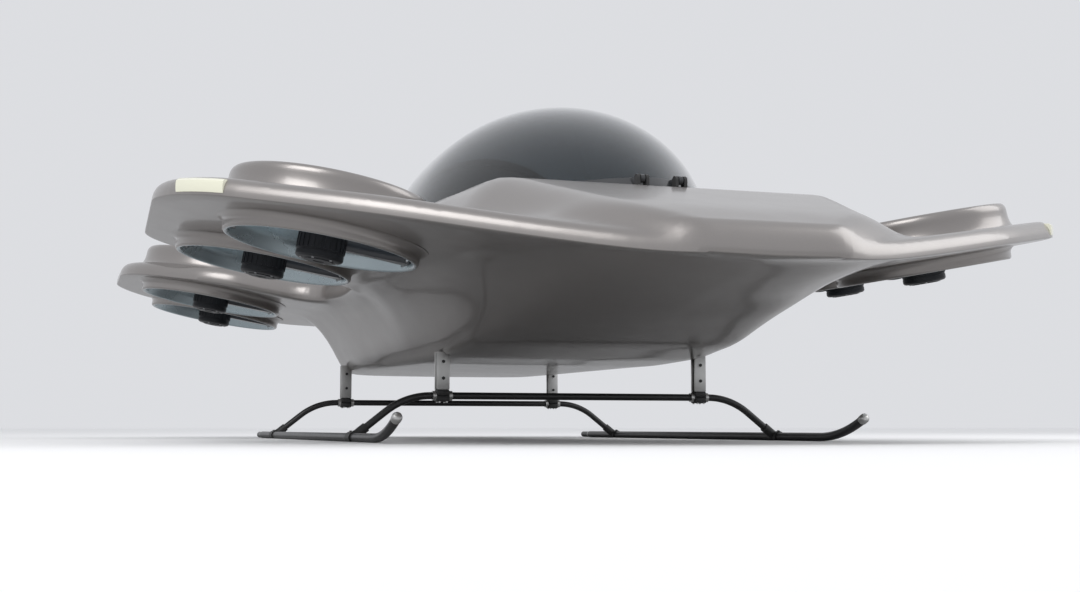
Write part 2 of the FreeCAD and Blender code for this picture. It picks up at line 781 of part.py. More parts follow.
def save_gear():
    right, left = both(skid())
    save("skid_right", right)
    save("skid_left", left)
    save("skid_end_caps", Part.makeCompound(both(skid_cap())))
    posts, clamps, saddles = [], [], []
    for name, y in TUBE_STATIONS:
        tube = cross_tube(y)
        save("cross_tube_" + name, tube)
        posts += both(gear_post(y))
        clamps += both(gear_clamp(y))
        saddles += both(skid_saddle(y, tube))
    save("gear_posts", Part.makeCompound(posts))
    save("gear_clamps", Part.makeCompound(clamps))
    save("skid_saddles", Part.makeCompound(saddles))


def save_cabin():
    right, left = both(seat())
    save("seat_right", right)
    save("seat_left", left)
    save("centre_console", console())
    save("instrument_panel", panel())
    save("control_sticks", Part.makeCompound([stick(side) for name, side in SIDES]))
    save("battery_pack", battery_box(0))


hull = loft([lower_section(row) for row in STATIONS])
deck = loft([upper_section(row) for row in STATIONS])
save("hull_lower", hull_lower(hull))
save("hull_upper", hull_upper(deck))
save("canopy_frame", canopy_frame())
save("canopy_glass", canopy_glass())
save("canopy_hinge", canopy_hinge())
save_pods(hull, deck)
save_gear()
save_cabin()
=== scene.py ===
# %% [markdown]
# # An aircraft with eight ducted fans, dressed for a studio picture
#
# The CAD model gives the true sizes and the moving bodies. Here each piece gets its final
# shape and its finish. The real machine has one smooth moulded skin, so the flat-sided hull
# and pods of the CAD model are replaced by a single skin that flows from nose to tail.
# Everything is in metres. The nose points to -Y and the skids stand on z = 0.

# %% Start
import json
import math

import bmesh
import bpy
import numpy as np
from mathutils import Matrix, Vector

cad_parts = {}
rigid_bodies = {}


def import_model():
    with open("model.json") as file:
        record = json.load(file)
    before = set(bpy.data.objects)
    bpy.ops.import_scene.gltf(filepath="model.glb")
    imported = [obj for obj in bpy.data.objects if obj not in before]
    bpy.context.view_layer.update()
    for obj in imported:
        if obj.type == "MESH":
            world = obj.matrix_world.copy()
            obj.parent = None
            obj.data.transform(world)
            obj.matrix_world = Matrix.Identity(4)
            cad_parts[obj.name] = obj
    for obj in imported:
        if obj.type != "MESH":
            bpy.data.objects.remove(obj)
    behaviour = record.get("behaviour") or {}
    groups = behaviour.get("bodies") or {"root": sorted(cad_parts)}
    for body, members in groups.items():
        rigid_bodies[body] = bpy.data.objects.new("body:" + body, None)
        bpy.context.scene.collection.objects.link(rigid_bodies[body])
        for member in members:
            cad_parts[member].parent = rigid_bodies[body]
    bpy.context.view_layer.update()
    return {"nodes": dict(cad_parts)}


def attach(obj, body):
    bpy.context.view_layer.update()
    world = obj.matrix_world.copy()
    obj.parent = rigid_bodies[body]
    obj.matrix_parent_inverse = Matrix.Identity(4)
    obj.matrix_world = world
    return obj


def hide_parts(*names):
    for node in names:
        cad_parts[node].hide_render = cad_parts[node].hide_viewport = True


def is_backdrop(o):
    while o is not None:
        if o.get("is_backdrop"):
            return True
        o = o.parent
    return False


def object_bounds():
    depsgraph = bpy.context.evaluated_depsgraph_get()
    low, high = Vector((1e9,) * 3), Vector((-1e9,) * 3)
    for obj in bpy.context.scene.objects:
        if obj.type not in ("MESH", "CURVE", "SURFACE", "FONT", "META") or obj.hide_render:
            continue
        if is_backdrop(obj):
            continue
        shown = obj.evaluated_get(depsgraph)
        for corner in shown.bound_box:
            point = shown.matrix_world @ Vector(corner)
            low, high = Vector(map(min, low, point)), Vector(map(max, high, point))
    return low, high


for leftover in list(bpy.data.objects):
    bpy.data.objects.remove(leftover)
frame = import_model()
X, Y, Z = Vector((1, 0, 0)), Vector((0, 1, 0)), Vector((0, 0, 1))

# %% [markdown]
# ## Small helpers
#
# Every piece is made in a bmesh, turned into an object at the origin, and told which CAD
# body carries it; the CAD nodes it stands for are hidden. One helper does this for all of them.
# A second one gives a straight rod between two points, because a machine is full of them.

# %% Helpers
def finished(name, bm, materials, body="airframe", stands_for=(), smooth=40.0):
    """Turns a bmesh into a piece that rides on a body."""
    mesh = bpy.data.meshes.new(name)
    bm.to_mesh(mesh)
    bm.free()
    piece = bpy.data.objects.new(name, mesh)
    bpy.context.scene.collection.objects.link(piece)
    for material in materials:
        mesh.materials.append(material)
    if smooth:
        mesh.shade_smooth()
        mesh.set_sharp_from_angle(angle=math.radians(smooth))
    if stands_for:
        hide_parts(*stands_for)
    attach(piece, body)
    print(name, len(mesh.polygons), "faces")
    return piece


def rod(bm, start, end, radius, end_radius=None, segments=16, material=0):
    """Adds a round rod between two points."""
    start, end = Vector(start), Vector(end)
    span = end - start
    turn = Z.rotation_difference(span).to_matrix().to_4x4()
    made = bmesh.ops.create_cone(
        bm, cap_ends=True, segments=segments, radius1=radius,
        radius2=radius if end_radius is None else end_radius, depth=span.length,
        matrix=Matrix.Translation((start + end) / 2) @ turn)
    for face in {face for vert in made["verts"] for face in vert.link_faces}:
        face.material_index = material
    return made["verts"]


def turned(bm, profile, matrix, segments=64, material=0, angle=2 * math.pi):
    """Spins a closed profile of (radius, height) points about the Z axis and places it."""
    before = set(bm.verts)
    verts = [bm.verts.new((radius, 0, height)) for radius, height in profile]
    edges = [bm.edges.new(pair) for pair in zip(verts, verts[1:] + verts[:1])]
    bmesh.ops.spin(bm, geom=verts + edges, cent=(0, 0, 0), axis=(0, 0, 1), angle=angle,
                   steps=segments, use_merge=angle == 2 * math.pi)
    new = [vert for vert in bm.verts if vert not in before]
    for face in {face for vert in new for face in vert.link_faces}:
        face.material_index = material
    bmesh.ops.transform(bm, matrix=matrix, verts=new)
    return new


def outwards(bm):
    """Turns every face of closed shells outwards."""
    bmesh.ops.recalc_face_normals(bm, faces=bm.faces[:])


def poured(source, target):
    """Adds all of one bmesh to another and frees the first."""
    mesh = bpy.data.meshes.new("poured")
    source.to_mesh(mesh)
    source.free()
    target.from_mesh(mesh)
    bpy.data.meshes.remove(mesh)


# %% [markdown]
# ## Paint and metal, first plain
#
# The skin is a satin silver lacquer over carbon fibre. Each finish is a Principled material.

# %% Materials
def fine_wear():
    """A group that varies roughness a little and gives a faint relief."""
    group = bpy.data.node_groups.new("fine_wear", "ShaderNodeTree")
    for label in ("Roughness", "Scale", "Relief"):
        group.interface.new_socket(label, in_out="INPUT", socket_type="NodeSocketFloat")
    group.interface.new_socket("Roughness", in_out="OUTPUT", socket_type="NodeSocketFloat")
    group.interface.new_socket("Normal", in_out="OUTPUT", socket_type="NodeSocketVector")
    nodes, links = group.nodes, group.links
    given, result = nodes.new("NodeGroupInput"), nodes.new("NodeGroupOutput")
    place = nodes.new("ShaderNodeTexCoord")
    noise = nodes.new("ShaderNodeTexNoise")
    noise.inputs["Detail"].default_value = 4.0
    spread = nodes.new("ShaderNodeMapRange")
    spread.inputs["To Min"].default_value = 0.85
    spread.inputs["To Max"].default_value = 1.20
    times = nodes.new("ShaderNodeMath")
    times.operation = "MULTIPLY"
    bump = nodes.new("ShaderNodeBump")
    bump.inputs["Distance"].default_value = 0.0006
    links.new(place.outputs["Object"], noise.inputs["Vector"])
    links.new(given.outputs["Scale"], noise.inputs["Scale"])
    links.new(noise.outputs["Fac"], spread.inputs["Value"])
    links.new(spread.outputs["Result"], times.inputs[0])
    links.new(given.outputs["Roughness"], times.inputs[1])
    links.new(noise.outputs["Fac"], bump.inputs["Height"])
    links.new(given.outputs["Relief"], bump.inputs["Strength"])
    links.new(times.outputs["Value"], result.inputs["Roughness"])
    links.new(bump.outputs["Normal"], result.inputs["Normal"])
    return group


WEAR = fine_wear()


def principled(name, colour, metallic=0.0, roughness=0.5, coat=0.0, scale=60.0, relief=0.03):
    material = bpy.data.materials.new(name)
    material.use_nodes = True
    nodes, links = material.node_tree.nodes, material.node_tree.links
    shader = nodes["Principled BSDF"]
    shader.inputs["Base Color"].default_value = (*colour, 1)
    shader.inputs["Metallic"].default_value = metallic
    shader.inputs["Coat Weight"].default_value = coat
    shader.inputs["Coat Roughness"].default_value = 0.08
    wear = nodes.new("ShaderNodeGroup")
    wear.node_tree = WEAR
    wear.inputs["Roughness"].default_value = roughness
    wear.inputs["Scale"].default_value = scale
    wear.inputs["Relief"].default_value = relief
    links.new(wear.outputs["Roughness"], shader.inputs["Roughness"])
    links.new(wear.outputs["Normal"], shader.inputs["Normal"])
    return material


def speckled(material, dark, light, scale):
    """Gives a material a fine speckle between two colours, like metal flakes or woven cloth."""
    nodes, links = material.node_tree.nodes, material.node_tree.links
    place = nodes.new("ShaderNodeTexCoord")
    noise = nodes.new("ShaderNodeTexNoise")
    noise.inputs["Scale"].default_value = scale
    noise.inputs["Detail"].default_value = 2.0
    ramp = nodes.new("ShaderNodeValToRGB")
    ramp.color_ramp.elements[0].position = 0.35
    ramp.color_ramp.elements[0].color = (*dark, 1)
    ramp.color_ramp.elements[1].position = 0.65
    ramp.color_ramp.elements[1].color = (*light, 1)
    links.new(place.outputs["Object"], noise.inputs["Vector"])
    links.new(noise.outputs["Fac"], ramp.inputs["Fac"])
    links.new(ramp.outputs["Color"], nodes["Principled BSDF"].inputs["Base Color"])


paint = principled("silver_lacquer", (0.30, 0.281, 0.270), 0.75, 0.31, 0.5, 8.0, 0.0)
speckled(paint, (0.285, 0.266, 0.255), (0.315, 0.296, 0.285), 900.0)
trim = principled("cabin_trim", (0.11, 0.11, 0.115), 0.0, 0.7, relief=0.2)

# %% [markdown]
# ## The plan outline of the skin
#
# Seen from above the aircraft is one closed shape: a blunt nose, two front lobes, a waist,
# two rear lobes and a short tail. It could be traced by hand, but it is easier to keep
# straight corners in a table and to round each one with a vertex bevel, which lays a circular
# arc on a flat corner. Columns: half width, place along the aircraft, corner radius.

# %% Outline
OUTLINE = [
    (0.220, -2.090, 0.250), (0.400, -2.026, 0.700), (1.000, -1.732, 1.500),
    (1.540, -1.343, 0.447), (1.481, -0.245, 0.210), (0.705, -0.122, 0.140),
    (0.676, 0.160, 0.900), (0.672, 0.330, 0.900), (0.702, 0.584, 0.140),
    (1.135, 0.590, 0.300), (1.476, 0.905, 0.420), (1.454, 1.650, 0.330),
    (0.985, 1.958, 0.200), (0.680, 1.790, 0.300), (0.480, 1.735, 0.090),
    (0.405, 1.970, 0.300), (0.275, 2.090, 0.140),
]
ARC_STEPS = 12


def outline_face(bm, rows):
    """A flat face with both halves of the outline, its corners rounded by bevels."""
    right = [bm.verts.new((x, y, 0)) for x, y, radius in rows]
    left = [bm.verts.new((-x, y, 0)) for x, y, radius in reversed(rows)]
    face = bm.faces.new(right + left)
    radii = [row[2] for row in rows] + [row[2] for row in reversed(rows)]
    corners = list(zip(right + left, radii))
    lengths = []
    for index, (vert, radius) in enumerate(corners):
        ahead = (corners[(index + 1) % len(corners)][0].co - vert.co).normalized()
        behind = (corners[index - 1][0].co - vert.co).normalized()
        lengths.append(radius / math.tan(ahead.angle(behind) / 2))
    for (vert, radius), length in zip(corners, lengths):
        steps = max(2, round(ARC_STEPS * min(1.0, length / 0.2)))
        bmesh.ops.bevel(bm, geom=[vert], offset=length, offset_type="OFFSET",
                        affect="VERTICES", segments=steps, profile=0.5, material=-1)
    return bm.faces[:][0] if len(bm.faces) == 1 else face


# %% [markdown]
# ## A sheet that follows the outline
#
# The skin needs fine rows of faces along its rounded edge and an even net inside. Insets give
# the rows: each one is a copy of the outline a little further in, spaced as the points of a
# quarter circle are. Cutting with upright planes gives the net. A smooth net matters more
# than a light one here, because a glossy skin shows every uneven face.

# %% Sheet
EDGE = 0.050
EDGE_STEPS = 7
NET = 0.024


def sheet(rows):
    """A flat net inside the outline, with inset rows along its edge."""
    bm = bmesh.new()
    outline_face(bm, rows)
    depth = 0.0
    for step in range(1, EDGE_STEPS + 1):
        goal = EDGE * (1 - math.cos(math.pi / 2 * step / EDGE_STEPS))
        inner = max(bm.faces, key=lambda face: face.calc_area())
        bmesh.ops.inset_region(bm, faces=[inner], thickness=goal - depth,
                               use_even_offset=True, use_boundary=True)
        depth = goal
    half = max(row[0] for row in rows)
    front, rear = rows[0][1], rows[-1][1]
    for count, low, axis in ((round(2 * half / NET), -half, X),
                             (round((rear - front) / NET), front, Y)):
        for step in range(1, count):
            bmesh.ops.bisect_plane(bm, geom=bm.verts[:] + bm.edges[:] + bm.faces[:],
                                   dist=1e-6, plane_co=axis * (low + step * NET),
                                   plane_no=axis)
    for place in (FAIRING_FRONT, FAIRING_FRONT + STEP):
        bmesh.ops.bisect_plane(bm, geom=bm.verts[:] + bm.edges[:] + bm.faces[:], dist=1e-6,
                               plane_co=Y * place, plane_no=Y)
    bmesh.ops.remove_doubles(bm, verts=bm.verts[:], dist=0.0008)
    return bm


# %% [markdown]
# ## The shape of the skin, as lines along the aircraft
#
# A boat builder draws a hull as a few long lines: the edge of the flat belly, the place where
# the flank runs out into the lobes, the edge of the deck and the foot of its shoulder. The
# table gives those lines, and a cross section at any place is a curve between them. The lobes
# are flat plates that rise by 10.3 degrees towards their tips.
# Columns: place along, belly half width and height, flank foot half width, least height of
# the underside beyond it, plate thickness, deck half width and height, shoulder foot, and
# how soft the belly's corner is.

# %% Lines
LINES = np.array([
    (-2.09, 0.230, 0.495, 0.280, 0.490, 0.060, 0.160, 0.580, 0.260, 0.160),
    (-1.95, 0.370, 0.476, 0.480, 0.510, 0.062, 0.300, 0.638, 0.450, 0.160),
    (-1.88, 0.395, 0.466, 0.600, 0.520, 0.064, 0.340, 0.660, 0.600, 0.160),
    (-1.54, 0.435, 0.412, 0.720, 0.530, 0.066, 0.470, 0.755, 0.700, 0.150),
    (-1.38, 0.455, 0.385, 0.730, 0.530, 0.066, 0.520, 0.800, 0.730, 0.110),
    (-0.95, 0.480, 0.318, 0.735, 0.530, 0.066, 0.557, 0.800, 0.740, 0.040),
    (-0.62, 0.503, 0.289, 0.735, 0.530, 0.066, 0.577, 0.800, 0.740, 0.030),
    (-0.26, 0.510, 0.279, 0.722, 0.530, 0.066, 0.585, 0.800, 0.738, 0.030),
    (-0.08, 0.515, 0.280, 0.692, 0.535, 0.120, 0.588, 0.800, 0.728, 0.030),
    (0.48, 0.512, 0.281, 0.690, 0.535, 0.120, 0.570, 0.795, 0.725, 0.030),
    (0.66, 0.510, 0.281, 0.692, 0.535, 0.066, 0.556, 0.790, 0.724, 0.030),
    (1.20, 0.470, 0.281, 0.700, 0.535, 0.066, 0.510, 0.780, 0.720, 0.030),
    (1.70, 0.370, 0.378, 0.480, 0.540, 0.100, 0.360, 0.735, 0.460, 0.060),
    (1.96, 0.290, 0.424, 0.360, 0.535, 0.094, 0.270, 0.685, 0.350, 0.080),
    (2.09, 0.180, 0.450, 0.230, 0.525, 0.062, 0.160, 0.615, 0.220, 0.080),
])
SOFT = 0.07
CANT = math.radians(10.3)
POD_X, LIP_Z = 1.078, 0.581
UNDER = 0.042
EDGE_SHARE = 0.10


def along(y, column):
    """A column of the table at any places along the aircraft, with soft bends."""
    shifts = np.linspace(-SOFT, SOFT, 15)
    return np.mean([np.interp(y + shift, LINES[:, 0], LINES[:, column])
                    for shift in shifts], axis=0)


def larger(one, other, soft):
    """The larger of two heights, with a soft bend where they cross."""
    return (one + other + np.sqrt((one - other) ** 2 + soft ** 2)) / 2


def bend(points, share):
    """A cubic curve through its end points, pulled by the two between."""
    rest = 1 - share
    weights = (rest ** 3, 3 * rest ** 2 * share, 3 * rest * share ** 2, share ** 3)
    return sum(weight * point for weight, point in zip(weights, points))


def plate_low(half, y):
    """Underside of the lobes: a canted plane, never below the side of the hull."""
    plane = LIP_Z + UNDER / math.cos(CANT) + (half - POD_X) * math.tan(CANT)
    return larger(plane, along(y, 4), 0.02)


def underside(half, y):
    """Half width and height of the underside for places in the plan."""
    belly, belly_z, foot = along(y, 1), along(y, 2), along(y, 3)
    width = foot - belly
    foot_z = plate_low(foot, y)
    run = (half - belly + np.sqrt((half - belly) ** 2 + along(y, 9) ** 2)) / 2
    share = np.clip(run / width, 0, 1)
    rise = foot_z - belly_z
    across = bend((belly, belly + 0.22 * width, foot - 0.45 * width, foot), share)
    up = bend((belly_z, belly_z + 0.5 * rise, plate_low(foot - 0.45 * width, y), foot_z), share)
    moved = np.where(share < 1, half + across - belly - run, half)
    return moved, np.where(share < 1, up, plate_low(half, y))


def topside(half, y):
    """Half width and height of the top for places in the plan."""
    deck, deck_z, foot = along(y, 6), along(y, 7), along(y, 8)
    width = foot - deck

    def plate(at):
        return plate_low(at, y) + along(y, 5)

    share = np.clip((half - deck) / width, 0, 1)
    across = bend((deck, deck + 0.45 * width, foot - 0.35 * width, foot), share)
    up = bend((deck_z, deck_z, plate(foot - 0.35 * width), plate(foot)), share)
    moved = np.where((share > 0) & (share < 1), across, half)
    return moved, np.where(share < 1, up, plate(half))


# %% [markdown]
# ## The fairing behind the canopy
#
# The bubble canopy is a body of revolution about a level axis, and the fairing behind it goes
# on along the same curve until it meets the deck. So the skin is raised to that curve behind
# the canopy. The step where the canopy ends has two rows of the net close together.
# Low down the round side would be too steep for the net, so from there a skirt goes on
# straight to the deck.

# %% Fairing
CREST_Y, CREST_R, AXIS_Z = -0.200, 0.530, 0.720
FAIRING_FRONT, FAIRING_REAR = 0.480, 1.750
STEP = 0.003
STEEP, TAIL_FALL = 0.86, 1.5


def spindle_radius(y):
    run = FAIRING_REAR - CREST_Y
    big = (run ** 2 + CREST_R ** 2) / (2 * CREST_R)
    return CREST_R - big + np.sqrt(np.maximum(big ** 2 - (y - CREST_Y) ** 2, 0))


def with_fairing(half, y, height):
    radius = np.maximum(spindle_radius(y), 0)
    rounded = np.sqrt(np.maximum(radius ** 2 - half ** 2, 0))
    fall = STEEP / math.sqrt(1 - STEEP ** 2)
    skirt = radius * math.sqrt(1 - STEEP ** 2) - fall * (half - STEEP * radius)
    hump = AXIS_Z + np.where(half < STEEP * radius, rounded, skirt)
    hump -= TAIL_FALL * np.maximum(y - FAIRING_REAR + SOFT, 0)
    raised = larger(height, hump, 0.06)
    return np.where(y > FAIRING_FRONT + STEP / 2, raised, height)


# %% [markdown]
# ## The skin
#
# The flat net is used twice, once for the underside and once for the top. Near the outline
# both turn towards the same line by a quarter of an ellipse, so they join in a round edge.
# The upper part of the edge is the taller one, which catches the light in a bright band.

# %% Skin
def edge_distance(x, y, loop):
    """How far each place is from the outline."""
    best = np.full(len(x), np.inf)
    for (ax, ay), (bx, by) in zip(loop, np.roll(loop, -1, axis=0)):
        dx, dy = bx - ax, by - ay
        share = np.clip(((x - ax) * dx + (y - ay) * dy) / (dx * dx + dy * dy), 0, 1)
        best = np.minimum(best, np.hypot(x - ax - share * dx, y - ay - share * dy))
    return best


def skin_half(rows, upper, loop):
    """One side of the skin as a bmesh."""
    bm = sheet(rows)
    x, y = np.array([vert.co[:2] for vert in bm.verts]).T
    half = np.abs(x)
    low_x, low_z = underside(half, y)
    top_x, top_z = topside(half, y)
    top_z = with_fairing(half, y, top_z)
    near = np.clip(edge_distance(x, y, loop) / EDGE, 0, 1)
    near[[vert.is_boundary for vert in bm.verts]] = 0
    turn = 1 - np.sqrt(1 - (1 - near) ** 2)
    edge_z = low_z + EDGE_SHARE * (top_z - low_z)
    if upper:
        height, moved = top_z + turn * (edge_z - top_z), top_x
    else:
        height, moved = low_z + turn * (edge_z - low_z), low_x
    moved = np.sign(x) * (half + (moved - half) * (1 - turn))
    for vert, place in zip(bm.verts, zip(moved, y, height)):
        vert.co = place
    return bm


def outline_loop(rows):
    bm = bmesh.new()
    outline_face(bm, rows)
    bm.faces.ensure_lookup_table()
    loop = np.array([vert.co[:2] for vert in bm.faces[0].verts])
    bm.free()
    return loop


LOOP = outline_loop(OUTLINE)
skin = bmesh.new()
for upper in (False, True):
    half_skin = skin_half(OUTLINE, upper, LOOP)
    poured(half_skin, skin)
bmesh.ops.remove_doubles(skin, verts=skin.verts[:], dist=0.0004)
outwards(skin)
print("open edges", sum(len(edge.link_faces) != 2 for edge in skin.edges))
body_skin = finished("body_skin", skin, [paint, trim],
                     stands_for=["hull_lower", "hull_upper"] + [
                         "pod_" + pod for pod in ("front_right", "front_left",
                                                  "rear_right", "rear_left")])

# %% [markdown]
# ## Where the ducts are
#
# Eight ducts stand square to the canted lobes. Each gets a matrix whose Z axis is the duct
# axis and whose origin is the middle of its lower lip, so every duct part is modelled once,
# upright, and placed by that matrix. Columns: pod, number, half width, place along.

# %% Duct places
DUCTS = [
    ("front", 1, 1.044, -1.200), ("front", 2, 1.114, -0.566),
    ("rear", 1, 1.096, 0.992), ("rear", 2, 1.002, 1.600),
]
SIDES = [("right", 1), ("left", -1)]
DUCT_R, LIP_R, THROAT_R = 0.295, 0.277, 0.262


def duct_matrix(x, y, side):
    height = LIP_Z + (x - POD_X) * math.tan(CANT)
    return Matrix.Translation((side * x, y, height)) @ Matrix.Rotation(-side * CANT, 4, "Y")


def ducts_of(pod, side):
    return [duct_matrix(x, y, side) for name, number, x, y in DUCTS if name == pod]


# %% [markdown]
# ## Cutting the ducts and the cabin out of the skin
#
# The holes could be left in the flat net, but a canted round hole is an ellipse there. It is
# simpler to cut upright cylinders in the duct frames with a boolean, which keeps the rest of
# the net. The cabin is cut in the same way, in two bodies: the room below the deck, which
# follows the hull lines a wall inside, and the mouth, which is the canopy's body of revolution
# a sill inside. The faces that the cabin bodies cut take the second material, the trim.

# %% Cutters
WALL, SILL = 0.032, 0.045
CABIN_FRONT, CABIN_REAR = -1.400, 0.480
MOUTH_FLOOR = 0.700
ROOM_SIDE, ROOM_LOW, ROOM_HIGH = 0.633, 0.582, 0.690


def lofted(bm, rings, material=0):
    """A closed body through rings of points, made by extruding one loop from ring to ring."""
    before = set(bm.verts)
    made = bmesh.ops.create_circle(bm, cap_ends=True, segments=len(rings[0]), radius=1.0)
    loop = made["verts"]
    for vert, point in zip(loop, rings[0]):
        vert.co = point
    edges = [edge for edge in bm.edges if edge.verts[0] in loop and edge.verts[1] in loop]
    for ring in rings[1:]:
        grown = bmesh.ops.extrude_edge_only(bm, edges=edges)["geom"]
        edges = [item for item in grown if isinstance(item, bmesh.types.BMEdge)]
        links = {}
        new = {item for item in grown if isinstance(item, bmesh.types.BMVert)}
        for vert in loop:
            for edge in vert.link_edges:
                if edge.other_vert(vert) in new:
                    links[vert] = edge.other_vert(vert)
        loop = [links[vert] for vert in loop]
        for vert, point in zip(loop, ring):
            vert.co = point
        edges = [edge for edge in edges if edge.verts[0] in new and edge.verts[1] in new]
    bmesh.ops.edgeloop_fill(bm, edges=edges)
    new = [vert for vert in bm.verts if vert not in before]
    faces = {face for vert in new for face in vert.link_faces}
    bmesh.ops.recalc_face_normals(bm, faces=list(faces))
    for face in faces:
        face.material_index = material
    return new


def cabin_ring(y):
    def floor(half):
        return float(underside(np.array([half]), np.array([y]))[1][0]) + WALL

    belly, deck, deck_z = (float(along(np.array([y]), c)[0]) for c in (1, 6, 7))
    corner = belly - WALL
    right = [(belly / 2, floor(belly / 2)), (corner, floor(corner)),
             (ROOM_SIDE, max(ROOM_LOW, floor(ROOM_SIDE))), (ROOM_SIDE, ROOM_HIGH),
             (deck - WALL, deck_z - WALL)]
    left = [(-x, z) for x, z in reversed(right)]
    return [(x, y, z) for x, z in right + left]


cutter = bmesh.new()
for pod in ("front", "rear"):
    for side_name, side in SIDES:
        for matrix in ducts_of(pod, side):
            rod(cutter, matrix @ Vector((0, 0, -0.2)), matrix @ Vector((0, 0, 0.4)),
                DUCT_R - 0.0025, segments=96)
lofted(cutter, [cabin_ring(y) for y in (CABIN_FRONT, -1.1, -0.8, -0.7, -0.6, 0.0, CABIN_REAR)],
       material=1)


def spindle_front(y):
    """Radius of the canopy's body of revolution in front of its crest."""
    run = CREST_Y - CABIN_FRONT
    big = (run ** 2 + CREST_R ** 2) / (2 * CREST_R)
    return CREST_R - big + math.sqrt(max(big ** 2 - (y - CREST_Y) ** 2, 0))


def canopy_radius(y):
    return spindle_front(y) if y < CREST_Y else float(spindle_radius(y))


MOUTH_REAR = CABIN_REAR - SILL / 2
mouth_front = CABIN_FRONT + SILL
mouth_places = [mouth_front + (MOUTH_REAR - mouth_front) * step / 40 for step in range(41)]
profile = [(max(canopy_radius(y) - SILL, 0.004), y) for y in mouth_places]
profile = [(0.0, mouth_front)] + profile + [(0.0, MOUTH_REAR)]
level = Matrix.Translation((0, 0, AXIS_Z)) @ Matrix.Rotation(-math.pi / 2, 4, "X")
mouth = bmesh.new()
turned(mouth, profile, level, segments=96, material=1)
bmesh.ops.remove_doubles(mouth, verts=mouth.verts[:], dist=1e-5)
cut = bmesh.ops.bisect_plane(mouth, geom=mouth.verts[:] + mouth.edges[:] + mouth.faces[:],
                             plane_co=(0, 0, MOUTH_FLOOR), plane_no=(0, 0, 1), clear_inner=True)
rim = [item for item in cut["geom_cut"] if isinstance(item, bmesh.types.BMEdge)]
bmesh.ops.edgeloop_fill(mouth, edges=rim)
outwards(mouth)
for face in mouth.faces:
    face.material_index = 1


# %% Cut
def cut_away(piece, *tools):
    """Cuts the bodies of one or more bmeshes out of a piece, for good."""
    for tool in tools:
        mesh = bpy.data.meshes.new("cutter")
        tool.to_mesh(mesh)
        tool.free()
        knife = bpy.data.objects.new("cutter", mesh)
        bpy.context.scene.collection.objects.link(knife)
        cut = piece.modifiers.new("cut", "BOOLEAN")
        cut.object, cut.operation, cut.solver = knife, "DIFFERENCE", "EXACT"
        graph = bpy.context.evaluated_depsgraph_get()
        result = bpy.data.meshes.new_from_object(piece.evaluated_get(graph))
        piece.modifiers.remove(cut)
        piece.data = result
        bpy.data.objects.remove(knife)


cut_away(body_skin, cutter, mouth)
print("skin after the cuts", len(body_skin.data.polygons), "faces")

# %% [markdown]
# ## Duct rings
#
# Each duct is lined by a moulded ring: a round lip below, a throat that the blade tips run
# in, and a wide inlet bell above, faired into the lobe outside. A ring is the same all the
# way round, so one closed profile is spun. The inlet and the fairings are parts of ellipses.

# %% Rings
# The duct lining is silver, but it is made paler and bluer than the skin's paint: painted
# reflection of the pale sky in the duct bowl.
duct_silver = principled("duct_silver", (0.40, 0.47, 0.50), 0.75, 0.26, 0.3, 8.0, 0.0)
INSIDE_R = 0.2875
THROAT_LOW, BLADE_PLANE, RING_TOP = 0.062, 0.112, 0.190
CREST, LIP_ROUND = 0.287, 0.009
FOOT, PLATE_TOP = 0.326, 0.106
LOW_FOOT = 0.318


def ellipse(centre, across, up, start, end, steps):
    """Points of part of an ellipse, angles in degrees."""
    points = []
    for step in range(steps + 1):
        angle = math.radians(start + (end - start) * step / steps)
        points.append((centre[0] + across * math.cos(angle),
                       centre[1] + up * math.sin(angle)))
    return points


ring_profile = (
    ellipse(((LIP_R + DUCT_R) / 2, LIP_ROUND), (DUCT_R - LIP_R) / 2, LIP_ROUND, 180, 360, 10)
    + ellipse((LOW_FOOT, 0.019), LOW_FOOT - DUCT_R, UNDER - 0.0185, 180, 90, 8)
    + [(LOW_FOOT - 0.004, 0.060), (FOOT - 0.004, 0.090)]
    + ellipse((FOOT, 0.160), FOOT - 0.305, 0.160 - PLATE_TOP + 0.001, 270, 180, 8)
    + ellipse((CREST, 0.163), 0.305 - CREST, RING_TOP - 0.163, 10, 90, 8)
    + ellipse((CREST, BLADE_PLANE), CREST - THROAT_R, RING_TOP - BLADE_PLANE, 100, 180, 12)
    + [(THROAT_R, THROAT_LOW), (0.264, 0.045), (0.269, 0.026)])

for pod in ("front", "rear"):
    for side_name, side in SIDES:
        bm = bmesh.new()
        for matrix in ducts_of(pod, side):
            turned(bm, ring_profile, matrix, segments=128)
        # Faces inside the duct keep the paler, bluer silver that holds the painted sky reflection;
        # the outer fairing faces take the skin's paint.
        centres = [matrix.inverted() for matrix in ducts_of(pod, side)]
        for face in bm.faces:
            spots = [back @ face.calc_center_median() for back in centres]
            if min(math.hypot(spot.x, spot.y) for spot in spots) > INSIDE_R:
                face.material_index = 1
        outwards(bm)
        label = "%s_%s" % (pod, side_name)
        finished("duct_rings_%s_shell" % label, bm, [duct_silver, paint],
                 stands_for=["duct_rings_" + label], smooth=50)

# %% [markdown]
# ## Lift motors
#
# The motors are black cans with a stepped cap below. Two grooves, a ring of cap screws and a
# row of cooling slots break up the plain can. The slots are small boxes that stand a little
# proud of the wall, because a raised rib reads the same as a cut slot and costs less.

